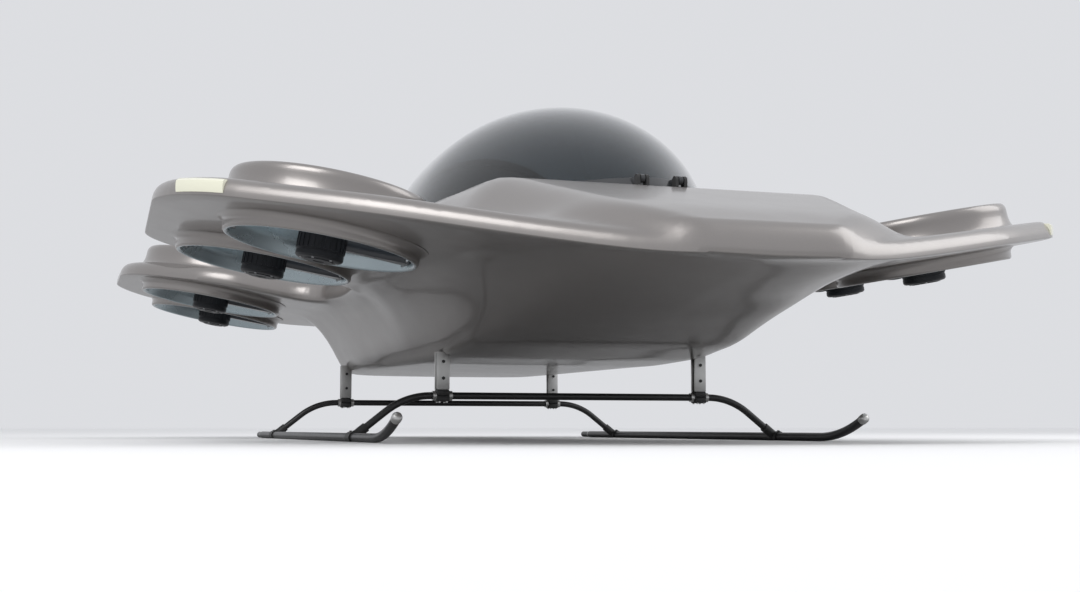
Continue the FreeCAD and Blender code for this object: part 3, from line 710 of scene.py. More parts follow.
# %% Motors
motor_black = principled("motor_black", (0.012, 0.013, 0.016), 0.3, 0.42)
screw_steel = principled("screw_steel", (0.45, 0.45, 0.46), 1.0, 0.3)
MOTOR_R, MOTOR_HIGH = 0.072, 0.078
SHAFT_R, SHAFT_TOP = 0.012, 0.108
motor_profile = [
    (0.0, -0.033), (0.016, -0.033), (0.018, -0.035), (0.044, -0.035), (0.046, -0.032),
    (0.062, -0.031), (0.068, -0.029), (MOTOR_R, -0.024), (MOTOR_R, -0.012),
    (0.0705, -0.0105), (0.0705, -0.0085), (MOTOR_R, -0.007), (MOTOR_R, 0.050),
    (0.0705, 0.0515), (0.0705, 0.0545), (MOTOR_R, 0.056), (MOTOR_R, 0.071),
    (0.066, 0.077), (0.058, MOTOR_HIGH), (0.030, MOTOR_HIGH), (0.026, 0.082),
    (SHAFT_R, 0.083), (SHAFT_R, SHAFT_TOP), (0.0, SHAFT_TOP),
]
CAP_SCREWS, SCREW_RING, RIBS = 6, 0.054, 24
RIB_MIDDLE, RIB_SIZES = 0.0215, (0.004, 0.0075, 0.050)

for pod in ("front", "rear"):
    for side_name, side in SIDES:
        bm = bmesh.new()
        for matrix in ducts_of(pod, side):
            turned(bm, motor_profile, matrix, segments=48)
            for step in range(CAP_SCREWS):
                spin = Matrix.Rotation(2 * math.pi * step / CAP_SCREWS, 4, "Z")
                spot = matrix @ spin @ Vector((SCREW_RING, 0, 0))
                down = matrix.to_3x3() @ Z
                rod(bm, spot + down * -0.034, spot + down * -0.028, 0.0042, segments=12,
                    material=1)
            for step in range(RIBS):
                spin = Matrix.Rotation(2 * math.pi * step / RIBS, 4, "Z")
                rib = (Matrix.Translation((MOTOR_R, 0, RIB_MIDDLE))
                       @ Matrix.Diagonal((*RIB_SIZES, 1)))
                bmesh.ops.create_cube(bm, size=1.0, matrix=matrix @ spin @ rib)
        bmesh.ops.remove_doubles(bm, verts=bm.verts[:], dist=1e-6)
        outwards(bm)
        label = "%s_%s" % (pod, side_name)
        finished("lift_motors_%s_cans" % label, bm, [motor_black, screw_steel],
                 stands_for=["lift_motors_" + label], smooth=35)

# %% [markdown]
# ## Arms, stays and wires
#
# A carbon arm carries each motor from the inboard wall of the duct. It widens towards the
# wall, where a flange takes the bolts. A thin bright stay runs to the rear wall, and three
# wires are tied along it. The arm is a box with tapered ends and bevelled edges.

# %% Arms
arm_carbon = principled("arm_carbon", (0.014, 0.016, 0.022), 0.1, 0.34, 0.5)
stay_metal = principled("stay_metal", (0.52, 0.52, 0.51), 0.9, 0.34)
wire_black = principled("wire_black", (0.02, 0.02, 0.022), 0.0, 0.5)
ARM_LOW, ARM_HIGH, ARM_ROOT, ARM_TIP = 0.012, 0.048, 0.036, 0.019
STAY_R, STAY_Z = 0.009, 0.022
WIRE_R = 0.0030
WALL_R = 0.2625


def box(bm, matrix, sizes, bevel=0.0, segments=2, material=0):
    """A box with its edges rounded."""
    made = bmesh.ops.create_cube(bm, size=1.0, matrix=matrix @ Matrix.Diagonal((*sizes, 1)))
    verts = made["verts"]
    faces = {face for vert in verts for face in vert.link_faces}
    for face in faces:
        face.material_index = material
    if bevel:
        edges = list({edge for vert in verts for edge in vert.link_edges})
        bmesh.ops.bevel(bm, geom=edges, offset=bevel, affect="EDGES", segments=segments,
                        profile=0.5, material=-1)
    return verts


def tube_through(bm, points, radius, segments=10, material=0):
    """A round tube through a row of points."""
    points = [Vector(point) for point in points]
    rings = []
    for index, point in enumerate(points):
        ahead = points[min(index + 1, len(points) - 1)]
        behind = points[max(index - 1, 0)]
        turn = Z.rotation_difference(ahead - behind).to_matrix()
        rings.append([point + turn @ Vector((radius * math.cos(2 * math.pi * k / segments),
                                             radius * math.sin(2 * math.pi * k / segments), 0))
                      for k in range(segments)])
    return lofted(bm, rings, material)


def arm(bm, matrix, side):
    inward = -side
    rings = []
    for reach, half in ((0.060, ARM_TIP), (0.120, ARM_TIP), (0.190, 0.024), (0.235, 0.031),
                        (WALL_R + 0.006, ARM_ROOT)):
        ring = []
        for across, up in ((-1, 0.25), (-0.8, 0), (0.8, 0), (1, 0.25), (1, 0.75), (0.8, 1),
                           (-0.8, 1), (-1, 0.75)):
            ring.append(matrix @ Vector((inward * reach, across * half,
                                         ARM_LOW + up * (ARM_HIGH - ARM_LOW))))
        rings.append(ring)
    lofted(bm, rings)
    flange = matrix @ Matrix.Translation((inward * (WALL_R - 0.001), 0, 0.030))
    box(bm, flange, (0.008, 0.088, 0.044), 0.003)
    for across in (-0.036, 0.036):
        for up in (0.018, 0.042):
            spot = matrix @ Vector((inward * (WALL_R - 0.004), across, up))
            axis = matrix.to_3x3() @ Vector((inward, 0, 0))
            rod(bm, spot - axis * 0.006, spot + axis * 0.002, 0.0042, segments=8, material=3)
    rod(bm, matrix @ Vector((0, 0.068, STAY_Z)), matrix @ Vector((0, WALL_R + 0.008, STAY_Z)),
        STAY_R, segments=16, material=1)
    for place in (0.086, WALL_R - 0.010):
        rod(bm, matrix @ Vector((0, place - 0.009, STAY_Z)),
            matrix @ Vector((0, place + 0.009, STAY_Z)), STAY_R + 0.004, segments=16, material=3)
    for across, drop, sag in ((-0.016, 0.004, 0.006), (0.0, -0.014, 0.010), (0.015, 0.0, 0.004)):
        path = []
        for step in range(11):
            share = step / 10
            bow = 4 * share * (1 - share)
            path.append(matrix @ Vector((across * (1 + 0.5 * bow), 0.062 + 0.204 * share,
                                         STAY_Z + drop - sag * bow)))
        tube_through(bm, path, WIRE_R, segments=8, material=2)
    for place in (0.125, 0.195):
        tie = matrix @ Matrix.Translation((0, place, STAY_Z - 0.003))
        box(bm, tie, (0.042, 0.005, 0.034), 0.0012, 1, material=2)
    clip = matrix @ Matrix.Rotation(math.radians(-8), 4, "Z") @ Matrix.Translation(
        (side * (WALL_R + 0.001), 0, 0.030))
    box(bm, clip, (0.016, 0.070, 0.028), 0.004, material=0)


for pod in ("front", "rear"):
    for side_name, side in SIDES:
        bm = bmesh.new()
        for matrix in ducts_of(pod, side):
            arm(bm, matrix, side)
        outwards(bm)
        label = "%s_%s" % (pod, side_name)
        finished("motor_arms_%s_set" % label, bm,
                 [arm_carbon, stay_metal, wire_black, screw_steel],
                 stands_for=["motor_arms_" + label], smooth=40)

# %% [markdown]
# ## Rotors
#
# Five twisted blades with a wing section stand on a hub with a round spinner. A blade is a
# loft through sections that turn flatter and get thinner towards the tip. Left-hand rotors
# are mirror images of right-hand ones, because opposite rotors turn opposite ways.

# %% Rotors
rotor_black = principled("rotor_black", (0.016, 0.017, 0.019), 0.1, 0.30, 0.4)
BLADES, HUB_R, TIP_R = 5, 0.056, 0.254
HUB_LOW, HUB_HIGH, SPINNER = BLADE_PLANE - 0.022, BLADE_PLANE + 0.024, 0.034
BLADE_SHAPE = np.array([
    (0.0, 0.050, 0.0110, 38.0), (0.08, 0.055, 0.0098, 34.5), (0.25, 0.061, 0.0085, 29.0),
    (0.45, 0.064, 0.0070, 24.0), (0.70, 0.058, 0.0055, 18.5), (0.90, 0.047, 0.0045, 15.0),
    (0.97, 0.036, 0.0036, 14.0), (1.0, 0.022, 0.0022, 13.5),
])
SECTION = 9


def wing_section(chord, thick):
    """Points round a wing section, front to back above and back again below."""
    points = []
    for side_of in (1, -1):
        for step in range(SECTION):
            angle = math.pi * step / SECTION
            along_chord = (1 - math.cos(angle)) / 2
            if side_of < 0:
                along_chord = 1 - along_chord
            swell = 2.6 * math.sqrt(max(along_chord, 0)) * (1 - along_chord) ** 0.9
            camber = 0.10 * along_chord * (1 - along_chord) * chord
            points.append(((along_chord - 0.4) * chord, side_of * thick * swell / 2 + camber))
    return points


def rotor_mesh(side, matrix):
    bm = bmesh.new()
    hub_mid = (HUB_LOW + HUB_HIGH) / 2
    hub = [(0.0, HUB_LOW), (0.020, HUB_LOW), (0.050, HUB_LOW), (HUB_R, HUB_LOW + 0.004),
           (HUB_R, HUB_HIGH)]
    hub += ellipse((0.0, HUB_HIGH), HUB_R, SPINNER, 6, 90, 12)
    turned(bm, hub, Matrix.Identity(4), segments=64)
    bmesh.ops.remove_doubles(bm, verts=bm.verts[:], dist=1e-6)
    for blade in range(BLADES):
        turn = Matrix.Rotation(2 * math.pi * blade / BLADES, 4, "Z")
        rings = []
        for share in (0, 0.04, 0.1, 0.2, 0.32, 0.45, 0.58, 0.7, 0.82, 0.9, 0.95, 0.98, 1.0):
            chord, thick, pitch = (float(np.interp(share, BLADE_SHAPE[:, 0], BLADE_SHAPE[:, k]))
                                   for k in (1, 2, 3))
            reach = HUB_R - 0.003 + (TIP_R - HUB_R + 0.003) * share
            tilt = Matrix.Rotation(math.radians(pitch), 4, "X")
            rings.append([turn @ Matrix.Translation((reach, 0, hub_mid)) @ tilt
                          @ Vector((0, across, up)) for across, up in
                          wing_section(chord, thick)])
        lofted(bm, rings)
    if side < 0:
        bmesh.ops.scale(bm, vec=(-1, 1, 1), verts=bm.verts[:])
    bmesh.ops.transform(bm, matrix=matrix, verts=bm.verts[:])
    outwards(bm)
    return bm


for pod in ("front", "rear"):
    for side_name, side in SIDES:
        for number, matrix in enumerate(ducts_of(pod, side), 1):
            label = "rotor_%s_%s_%d" % (pod, side_name, number)
            finished(label + "_blades", rotor_mesh(side, matrix), [rotor_black], body=label,
                     stands_for=[label], smooth=40)

# %% [markdown]
# ## Headlamps
#
# A thin lamp strip follows the leading corner of each front lobe. Its face is made by moving
# the skin's own outline outwards a little and giving it height, so it fits the curved edge.

# %% Lamps
lamp = principled("lamp", (0.93, 0.92, 0.74), 0.0, 0.25, 0.6)
LAMP_INNER_X, LAMP_REAR_Y = 1.352, -1.304
LAMP_FACE = [(-0.010, 0.010), (0.0018, 0.013), (0.0028, 0.022), (0.0028, 0.036),
             (0.0014, 0.046), (-0.008, 0.053), (-0.022, 0.053)]


def lamp_path():
    """Outline points of the right front corner, with the way out of the skin."""
    path = []
    for index, point in enumerate(LOOP):
        ahead = LOOP[(index + 1) % len(LOOP)] - LOOP[index - 1]
        out = Vector((ahead[1], -ahead[0])).normalized()
        if out.dot(Vector(point) - Vector((1.0, -0.9))) < 0:
            out = -out
        if point[0] > LAMP_INNER_X and point[1] < LAMP_REAR_Y:
            path.append((Vector(point), out))
    return sorted(path, key=lambda item: item[0].x + item[0].y)


bm = bmesh.new()
rings = []
for point, out in lamp_path():
    low = float(underside(np.array([point.x]), np.array([point.y]))[1][0])
    rings.append([(point.x + out.x * away, point.y + out.y * away, low + up)
                  for away, up in LAMP_FACE])
lofted(bm, rings)
outwards(bm)
left = bm.copy()
bmesh.ops.scale(left, vec=(-1, 1, 1), verts=left.verts[:])
bmesh.ops.reverse_faces(left, faces=left.faces[:])
finished("headlamp_right_strip", bm, [lamp], stands_for=["headlamp_right"])
finished("headlamp_left_strip", left, [lamp], stands_for=["headlamp_left"])

# %% [markdown]
# ## Canopy
#
# The bubble is blown from one sheet and sits in a rail with a bow at the rear. It is turned
# here about the same level axis as the hull's fairing, as an outer and an inner skin, and
# the planes at the rail and the bow cut it to shape. The rail is cut from a thicker shell.

# %% Canopy
canopy_glass = bpy.data.materials.new("canopy_glass")
canopy_glass.use_nodes = True
glass = canopy_glass.node_tree.nodes["Principled BSDF"]
glass.inputs["Base Color"].default_value = (0.16, 0.19, 0.21, 1)
glass.inputs["Roughness"].default_value = 0.03
glass.inputs["IOR"].default_value = 1.1
glass.inputs["Transmission Weight"].default_value = 1.0
glass.inputs["Coat Weight"].default_value = 1.0
glass.inputs["Coat Roughness"].default_value = 0.03
canopy_black = principled("canopy_black", (0.035, 0.037, 0.040), 0.1, 0.35, 0.3)
GLASS, RAIL, RAIL_TOP, SEAL = 0.008, 0.028, 0.838, 0.808
BOW_REAR, BOW = 0.470, 0.030
HINGE_Y, HINGE_Z, HINGE_X = -1.340, 0.822, 0.065


def bubble_shell(thick, to_y, planes, segments=128, steps=56):
    """The canopy's shell up to a place, cut by planes of (point, way out)."""
    start = CABIN_FRONT + 0.0005
    outer = []
    for step in range(steps + 1):
        y = start + (to_y - start) * (1 - math.cos(step / steps * math.pi / 2))
        outer.append((canopy_radius(y), y))
    inner = [(radius - thick, y) for radius, y in outer if radius - thick > 0.002]
    outer = [(0.0, start)] + outer[1:]
    inner = [(0.0, inner[0][1] - 0.002)] + inner
    bm = bmesh.new()
    turned(bm, outer + inner[::-1], level, segments=segments)
    bmesh.ops.remove_doubles(bm, verts=bm.verts[:], dist=1e-5)
    for co, no in planes:
        cut = bmesh.ops.bisect_plane(bm, geom=bm.verts[:] + bm.edges[:] + bm.faces[:],
                                     plane_co=co, plane_no=no, clear_outer=True)
        rim = [item for item in cut["geom_cut"] if isinstance(item, bmesh.types.BMEdge)]
        if rim:
            bmesh.ops.bridge_loops(bm, edges=rim)
    outwards(bm)
    return bm


DOWN, UP, FORE = (0, 0, -1), (0, 0, 1), (0, -1, 0)
glass_bm = bubble_shell(GLASS, BOW_REAR - BOW, [((0, 0, RAIL_TOP), DOWN)])
finished("canopy_glass_bubble", glass_bm, [canopy_glass], body="canopy",
         stands_for=["canopy_glass"], smooth=60)

frame_bm = bubble_shell(RAIL, BOW_REAR, [((0, 0, SEAL), DOWN), ((0, 0, RAIL_TOP), UP)])
bow_bm = bubble_shell(RAIL, BOW_REAR, [((0, 0, RAIL_TOP - 0.001), DOWN),
                                       ((0, BOW_REAR - BOW, 0), FORE)])
poured(bow_bm, frame_bm)
for side in (-1, 1):
    arm_place = Matrix.Translation((side * HINGE_X, HINGE_Y + 0.045, HINGE_Z))
    box(frame_bm, arm_place, (0.014, 0.078, 0.024), 0.003)
    rod(frame_bm, (side * HINGE_X - 0.007, HINGE_Y, HINGE_Z),
        (side * HINGE_X + 0.007, HINGE_Y, HINGE_Z), 0.0138, segments=32)
for side in (-1, 1):
    grip = Matrix.Translation((side * 0.395, 0.30, RAIL_TOP - 0.014))
    box(frame_bm, grip, (0.010, 0.120, 0.014), 0.004)
finished("canopy_rail_and_bow", frame_bm, [canopy_black], body="canopy",
         stands_for=["canopy_frame"], smooth=40)

# %% [markdown]
# ## Landing gear
#
# Two long tubes touch the ground and two bent cross tubes carry the aircraft on them through
# short fork posts. Tubes like these are bent cold from drawn stock, so each is one round
# section swept along its path. A post is a fork of two plates with a bolt through it.

# %% Tubes
gear_tube = principled("gear_tube", (0.055, 0.055, 0.056), 0.7, 0.36)
gear_metal = principled("gear_metal", (0.56, 0.56, 0.55), 1.0, 0.38)
gear_dark = principled("gear_dark", (0.045, 0.045, 0.045), 0.4, 0.5)
SKID_R, SKID_X, SKID_REAR, SKID_BEND = 0.015, 0.805, 1.431, -0.900
TIP_RISE, TIP_RUN, CAP = 0.058, 0.280, 0.026
BEND_R = (TIP_RUN ** 2 + TIP_RISE ** 2) / (2 * TIP_RISE)
TIP_ANGLE = math.asin(TIP_RUN / BEND_R)
TUBE_R, TUBE_Z, TUBE_PLACES = 0.0125, 0.158, (("front", -0.568), ("rear", 1.023))
STRAIGHT, TUBE_BEND, TUBE_ANGLE = 0.530, 0.260, math.radians(38)


def tip_point(share):
    angle = TIP_ANGLE * share
    return Vector((0, SKID_BEND - BEND_R * math.sin(angle),
                   SKID_R + BEND_R * (1 - math.cos(angle))))


for side_name, side in SIDES:
    bm = bmesh.new()
    across = Vector((side * SKID_X, 0, 0))
    run = [Vector((0, SKID_REAR - 0.09, SKID_R)), Vector((0, 0.2, SKID_R))]
    run += [tip_point(step / 12) for step in range(13)]
    tube_through(bm, [across + point for point in run], SKID_R, segments=32)
    rod(bm, across + Vector((0, SKID_REAR - 0.092, SKID_R)),
        across + Vector((0, SKID_REAR, SKID_R)), 0.0135, segments=32)
    rod(bm, across + Vector((0, SKID_REAR - 0.096, SKID_R)),
        across + Vector((0, SKID_REAR - 0.084, SKID_R)), 0.0148, segments=32, material=1)
    for y in (-0.70, 0.23, 1.16):
        rod(bm, across + Vector((0, y - 0.05, 0.0035)), across + Vector((0, y + 0.05, 0.0035)),
            0.0030, segments=12, material=1)
    outwards(bm)
    finished("skid_%s_tube" % side_name, bm, [gear_tube, gear_metal],
             stands_for=["skid_" + side_name], smooth=50)

bm = bmesh.new()
tip, reach = tip_point(1), Vector((0, -math.cos(TIP_ANGLE), math.sin(TIP_ANGLE)))
for side_name, side in SIDES:
    spot = tip + Vector((side * SKID_X, 0, 0))
    turn = Z.rotation_difference(reach).to_matrix().to_4x4()
    cap = [(0.0, 0.0), (0.0168, 0.0), (0.0168, 0.017), (0.0150, 0.022), (0.0105, 0.0252),
           (0.0, CAP)]
    turned(bm, cap, Matrix.Translation(spot) @ turn, segments=32)
bmesh.ops.remove_doubles(bm, verts=bm.verts[:], dist=1e-6)
outwards(bm)
finished("skid_end_caps_turned", bm, [gear_metal],
         stands_for=["skid_end_caps"], smooth=50)


def cross_half(y):
    """The right half of a cross tube, from the middle out to the skid."""
    points = [Vector((0, y, TUBE_Z)), Vector((STRAIGHT * 0.9, y, TUBE_Z))]
    for step in range(13):
        angle = TUBE_ANGLE * step / 12
        points.append(Vector((STRAIGHT + TUBE_BEND * math.sin(angle), y,
                              TUBE_Z - TUBE_BEND * (1 - math.cos(angle)))))
    last = points[-1]
    points.append(Vector((SKID_X, y, last.z - (SKID_X - last.x) * math.tan(TUBE_ANGLE))))
    return points


for label, y in TUBE_PLACES:
    bm = bmesh.new()
    half = cross_half(y)
    other = [Vector((-point.x, point.y, point.z)) for point in reversed(half[1:])]
    tube_through(bm, other + half, TUBE_R, segments=32)
    outwards(bm)
    finished("cross_tube_%s_bent" % label, bm, [gear_tube],
             stands_for=["cross_tube_" + label], smooth=50)

# %% [markdown]
# ## Posts, clamps and saddles
#
# Each post is a fork: two flat plates either side of the tube, a web between them and two
# bolts. The clamp is a split block round the tube with a bright collar either side. Saddles
# join the cross tubes to the skids: a sleeve on each tube, cut flat just above the ground.

# %% Posts
POST_X, POST_WIDTH, CLAMP = 0.490, 0.046, 0.021
posts, clamps, saddles = bmesh.new(), bmesh.new(), bmesh.new()
for label, y in TUBE_PLACES:
    for side_name, side in SIDES:
        foot = Matrix.Translation((side * POST_X, y, 0))
        belly = float(underside(np.array([POST_X]), np.array([y]))[1][0]) + 0.006
        low = TUBE_Z + CLAMP
        for front in (-1, 1):
            plate = foot @ Matrix.Translation((0, front * 0.0135, (low + belly) / 2))
            box(posts, plate, (POST_WIDTH, 0.006, belly - low), 0.002)
        web = foot @ Matrix.Translation((0, 0, (low + belly) / 2))
        box(posts, web, (POST_WIDTH - 0.014, 0.026, belly - low - 0.004), 0.0, material=1)
        for up in (0.30, 0.74):
            height = low + (belly - low) * up
            rod(posts, (side * POST_X, y - 0.0205, height), (side * POST_X, y + 0.0205, height),
                0.0065, segments=6, material=2)
            rod(posts, (side * POST_X, y - 0.0178, height), (side * POST_X, y + 0.0178, height),
                0.0090, segments=24, material=0)
        for part in (-1, 1):
            shell = foot @ Matrix.Translation((0, 0, TUBE_Z + part * 0.0108))
            box(clamps, shell, (POST_WIDTH, 2 * CLAMP, 0.0204), 0.005, material=1)
            for front in (-1, 1):
                spot = Vector((side * POST_X + part * 0.013, y + front * 0.0165, 0))
                rod(clamps, spot + Vector((0, 0, TUBE_Z - CLAMP - 0.003)),
                    spot + Vector((0, 0, TUBE_Z - CLAMP + 0.004)), 0.0036, segments=6,
                    material=0)
            collar = side * POST_X + part * (POST_WIDTH / 2 + 0.006)
            rod(clamps, (collar - 0.006, y, TUBE_Z), (collar + 0.006, y, TUBE_Z), 0.0168,
                segments=32, material=0)
        last, ahead = cross_half(y)[-1], cross_half(y)[-2]
        end = Vector((side * last.x, last.y, last.z))
        back = Vector((side * (ahead.x - last.x), 0, ahead.z - last.z)).normalized()
        rod(saddles, (side * SKID_X, y - 0.032, SKID_R), (side * SKID_X, y + 0.032, SKID_R),
            0.0198, segments=32)
        rod(saddles, end, end + back * 0.060, 0.0168, segments=32)
        for along_skid in (-0.024, 0.024):
            rod(saddles, (side * SKID_X - 0.004, y + along_skid, SKID_R + 0.019),
                (side * SKID_X + 0.004, y + along_skid, SKID_R + 0.019), 0.004, segments=12)
cut = bmesh.ops.bisect_plane(saddles, geom=saddles.verts[:] + saddles.edges[:] + saddles.faces[:],
                             plane_co=(0, 0, 0.002), plane_no=(0, 0, -1), clear_outer=True)
rim = [item for item in cut["geom_cut"] if isinstance(item, bmesh.types.BMEdge)]
bmesh.ops.edgeloop_fill(saddles, edges=rim)
for bm in (posts, clamps, saddles):
    outwards(bm)
finished("gear_posts_forks", posts, [gear_metal, gear_dark, gear_dark],
         stands_for=["gear_posts"], smooth=35)
finished("gear_clamps_split", clamps, [gear_metal, gear_dark],
         stands_for=["gear_clamps"], smooth=35)
finished("skid_saddles_sleeves", saddles, [gear_dark],
         stands_for=["skid_saddles"], smooth=40)

# %% [markdown]
# ## Seats
#
# Each seat is a bent shell with a cushion in two parts and a headrest. Cushions are stitched
# from panels over foam, so their faces are subdivided and swollen outwards, most in the
# middle. Straps hang over the backs, and a buckle joins them.

# %% Seats
seat_cloth = principled("seat_cloth", (0.14, 0.13, 0.125), 0.0, 0.85, 0.0, 240.0, 0.5)
speckled(seat_cloth, (0.11, 0.10, 0.097), (0.17, 0.16, 0.15), 500.0)
seat_shell = principled("seat_shell", (0.020, 0.021, 0.023), 0.1, 0.45)
strap = principled("strap", (0.035, 0.036, 0.040), 0.0, 0.75)
SEAT_X, SEAT_HALF = 0.235, 0.196


def cushion(bm, matrix, sizes, swell, material=0):
    """A box rounded at its edges whose broad faces bulge."""
    piece = bmesh.new()
    bmesh.ops.create_cube(piece, size=1.0, matrix=Matrix.Diagonal((*sizes, 1)))
    bmesh.ops.bevel(piece, geom=piece.edges[:], offset=min(sizes) * 0.36, affect="EDGES",
                    segments=4, profile=0.5, material=-1)
    bmesh.ops.subdivide_edges(piece, edges=piece.edges[:], cuts=3, use_grid_fill=True)
    for vert in piece.verts:
        x, y = vert.co.x / sizes[0] * 2, vert.co.y / sizes[1] * 2
        vert.co.z += math.copysign(swell, vert.co.z) * (1 - x * x) * (1 - y * y)
    for face in piece.faces:
        face.material_index = material
    bmesh.ops.transform(piece, matrix=matrix, verts=piece.verts[:])
    poured(piece, bm)


def leaning(x, y, z, degrees):
    return (Matrix.Translation((x, y, z))
            @ Matrix.Rotation(math.radians(degrees), 4, "X"))


for side_name, side in SIDES:
    bm = bmesh.new()
    x = side * SEAT_X
    box(bm, leaning(x, -0.205, 0.372, -3.5), (2 * SEAT_HALF, 0.430, 0.050), 0.018, material=1)
    box(bm, leaning(x, 0.175, 0.640, 63.4), (2 * SEAT_HALF, 0.560, 0.036), 0.014, material=1)
    for across in (-0.062, 0.062):
        box(bm, leaning(x + across, 0.142, 0.700, 63.4), (0.040, 0.400, 0.0660), 0.002,
            material=2)
    box(bm, leaning(x, 0.028, 0.455, 63.4), (0.060, 0.050, 0.018), 0.004, material=1)
    box(bm, Matrix.Translation((x, -0.16, 0.343)), (0.272, 0.320, 0.050), 0.008, material=1)
    outwards(bm)
    finished("seat_%s_shell" % side_name, bm, [seat_cloth, seat_shell, strap],
             stands_for=["seat_" + side_name], smooth=50)
    foam = bmesh.new()
    cushion(foam, leaning(x, -0.215, 0.402, -3.5), (0.350, 0.400, 0.044), 0.008)
    cushion(foam, leaning(x, 0.098, 0.560, 63.4), (0.340, 0.250, 0.052), 0.006)
    cushion(foam, leaning(x, 0.190, 0.775, 63.4), (0.310, 0.190, 0.050), 0.006)
    cushion(foam, leaning(x, 0.280, 0.962, 66.5), (0.186, 0.110, 0.056), 0.004)
    outwards(foam)
    padding = finished("seat_%s_cushions" % side_name, foam, [seat_cloth],
                       smooth=50)

# %% [markdown]
# ## Panel, console and sticks
#
# Two screens and a row of push buttons face the seats. Each screen shows plain generic bars
# made by a shader, with no words. A stick with a ribbed boot stands in front of each seat.

# %% Cabin
panel_black = principled("panel_black", (0.026, 0.027, 0.029), 0.0, 0.6)
button_grey = principled("button_grey", (0.22, 0.22, 0.23), 0.0, 0.5)
screen = principled("screen", (0.010, 0.014, 0.020), 0.0, 0.08)
nodes, links = screen.node_tree.nodes, screen.node_tree.links
place = nodes.new("ShaderNodeTexCoord")
bars = nodes.new("ShaderNodeTexWave")
bars.inputs["Scale"].default_value = 9.0
bars.bands_direction = "Z"
glow = nodes.new("ShaderNodeValToRGB")
glow.color_ramp.elements[0].position = 0.86
glow.color_ramp.elements[0].color = (0.004, 0.008, 0.014, 1)
glow.color_ramp.elements[1].position = 0.93
glow.color_ramp.elements[1].color = (0.05, 0.22, 0.26, 1)
links.new(place.outputs["Object"], bars.inputs["Vector"])
links.new(bars.outputs["Color"], glow.inputs["Fac"])
links.new(glow.outputs["Color"], screen.node_tree.nodes["Principled BSDF"].inputs["Emission Color"])
screen.node_tree.nodes["Principled BSDF"].inputs["Emission Strength"].default_value = 0.6

bm = bmesh.new()
PANEL_HALF = 0.468
profile = [(-1.008, 0.642), (-0.852, 0.642), (-0.892, 0.746), (-0.871, 0.758),
           (-0.880, 0.7595), (-1.008, 0.741)]
lofted(bm, [[(x, y, z) for y, z in profile] for x in (-PANEL_HALF, 0.0, PANEL_HALF)])
lean = 21.0
for side_name, side in SIDES:
    face_at = leaning(side * SEAT_X, -0.8665, 0.694, lean - 90)
    box(bm, face_at, (0.300, 0.086, 0.010), 0.003, material=0)
    box(bm, face_at @ Matrix.Translation((0, 0, 0.0045)), (0.276, 0.070, 0.004), 0.001,
        material=2)
for step in range(6):
    button = leaning(-0.050 + 0.020 * step, -0.8685, 0.690, lean - 90)
    box(bm, button, (0.012, 0.012, 0.012), 0.002, material=1)
outwards(bm)
finished("instrument_panel_dressed", bm, [panel_black, button_grey, screen],
         stands_for=["instrument_panel"], smooth=30)

bm = bmesh.new()
for side_name, side in SIDES:
    foot = Matrix.Translation((side * SEAT_X, -0.560, 0.313))
    boot = [(0.0, 0.0), (0.042, 0.0), (0.040, 0.008), (0.033, 0.012), (0.034, 0.018),
            (0.026, 0.024), (0.027, 0.030), (0.019, 0.038), (0.018, 0.044), (0.0105, 0.052),
            (0.0105, 0.160), (0.0150, 0.163), (0.0170, 0.172), (0.0158, 0.186),
            (0.0172, 0.202), (0.0158, 0.218), (0.0172, 0.236), (0.0140, 0.246), (0.0, 0.2495)]
    turned(bm, boot, foot, segments=32)
    rod(bm, foot @ Vector((0.0, 0.012, 0.236)), foot @ Vector((0.0, 0.0178, 0.236)), 0.005,
        segments=12, material=1)
bmesh.ops.remove_doubles(bm, verts=bm.verts[:], dist=1e-6)
outwards(bm)
finished("control_sticks_booted", bm, [panel_black, button_grey],
         stands_for=["control_sticks"], smooth=50)

console_trim = principled("console_trim", (0.030, 0.031, 0.033), 0.0, 0.55)
battery_case = principled("battery_case", (0.10, 0.10, 0.11), 0.2, 0.5)
for node, material in (("centre_console", console_trim), ("canopy_hinge", gear_dark),
                       ("battery_pack", battery_case)):
    mesh = frame["nodes"][node].data
    mesh.materials.clear()
    mesh.materials.append(material)
print("cabin and gear done")

# %% [markdown]
# ## Camera, light and floor
#
# The camera stands on the floor and looks up at the belly.

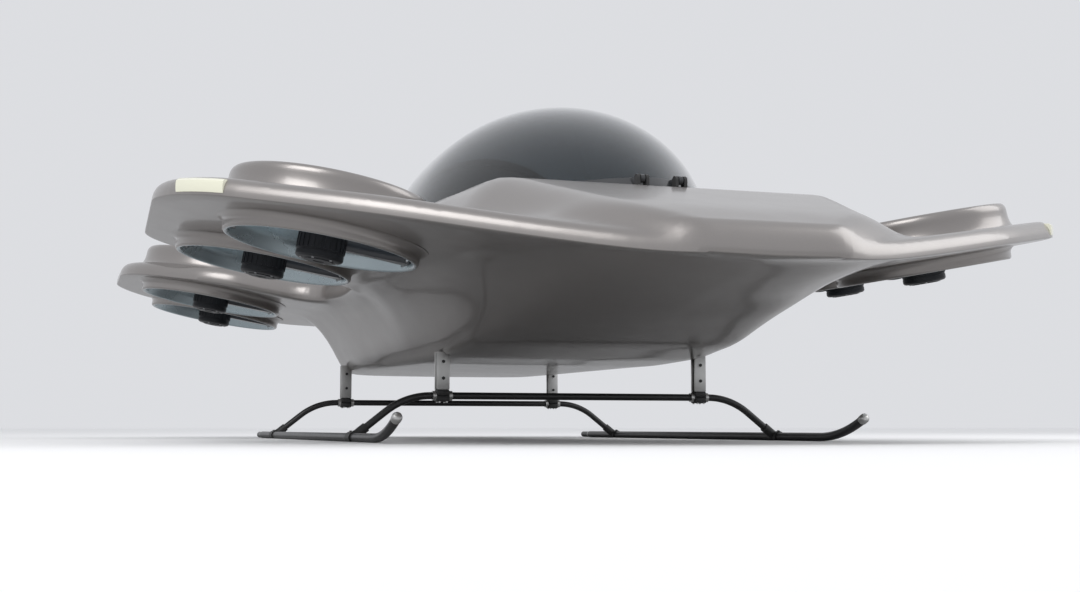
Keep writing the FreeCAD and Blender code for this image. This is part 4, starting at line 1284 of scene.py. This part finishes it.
# %% Stage
floor_mesh = bmesh.new()
bmesh.ops.create_grid(floor_mesh, x_segments=1, y_segments=1, size=40)
floor_data = bpy.data.meshes.new("floor")
floor_mesh.to_mesh(floor_data)
floor_mesh.free()
floor = bpy.data.objects.new("floor", floor_data)
bpy.context.scene.collection.objects.link(floor)
floor_paint = principled("floor_paint", (0.82, 0.82, 0.82), 0.0, 0.8)
floor_data.materials.append(floor_paint)
floor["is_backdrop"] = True
nodes, links = floor_paint.node_tree.nodes, floor_paint.node_tree.links
clear = nodes.new("ShaderNodeBsdfTransparent")
side = nodes.new("ShaderNodeNewGeometry")
mix = nodes.new("ShaderNodeMixShader")
links.new(side.outputs["Backfacing"], mix.inputs["Fac"])
seen = nodes.new("ShaderNodeLightPath")
tone = nodes.new("ShaderNodeMix")
tone.data_type = "RGBA"
tone.inputs["A"].default_value = (0.58, 0.58, 0.58, 1)
tone.inputs["B"].default_value = (0.93, 0.93, 0.93, 1)
links.new(seen.outputs["Is Camera Ray"], tone.inputs["Factor"])
links.new(tone.outputs["Result"], nodes["Principled BSDF"].inputs["Base Color"])
links.new(nodes["Principled BSDF"].outputs["BSDF"], mix.inputs[1])
links.new(clear.outputs["BSDF"], mix.inputs[2])
links.new(mix.outputs["Shader"], nodes["Material Output"].inputs["Surface"])

world = bpy.data.worlds.new("world")
bpy.context.scene.world = world
world.use_nodes = True
world.node_tree.nodes["Background"].inputs["Color"].default_value = (0.80, 0.81, 0.84, 1)
world.node_tree.nodes["Background"].inputs["Strength"].default_value = 0.9


def soft_lamp(name, place, target, size, power):
    lamp = bpy.data.lights.new(name, "AREA")
    lamp.size = size
    lamp.energy = power
    holder = bpy.data.objects.new(name, lamp)
    holder.location = place
    holder.rotation_mode = "QUATERNION"
    holder.rotation_quaternion = (Vector(target) - Vector(place)).to_track_quat("-Z", "Y")
    bpy.context.scene.collection.objects.link(holder)


soft_lamp("key", (-4.0, -4.5, 6.0), (0, 0, 0.5), 4.0, 200)
soft_lamp("fill", (5.0, -2.0, 4.0), (0, 0, 0.5), 4.0, 90)

eye = bpy.data.cameras.new("eye")
eye.lens = 50
holder = bpy.data.objects.new("eye", eye)
holder.location = (-1.9, -5.6, 0.05)
holder.rotation_mode = "QUATERNION"
holder.rotation_quaternion = (Vector((0.0, -0.2, 0.55)) - holder.location).to_track_quat("-Z", "Y")
bpy.context.scene.collection.objects.link(holder)
bpy.context.scene.camera = holder
bpy.context.scene.view_settings.view_transform = "Standard"

# %% Sizes
low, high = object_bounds()
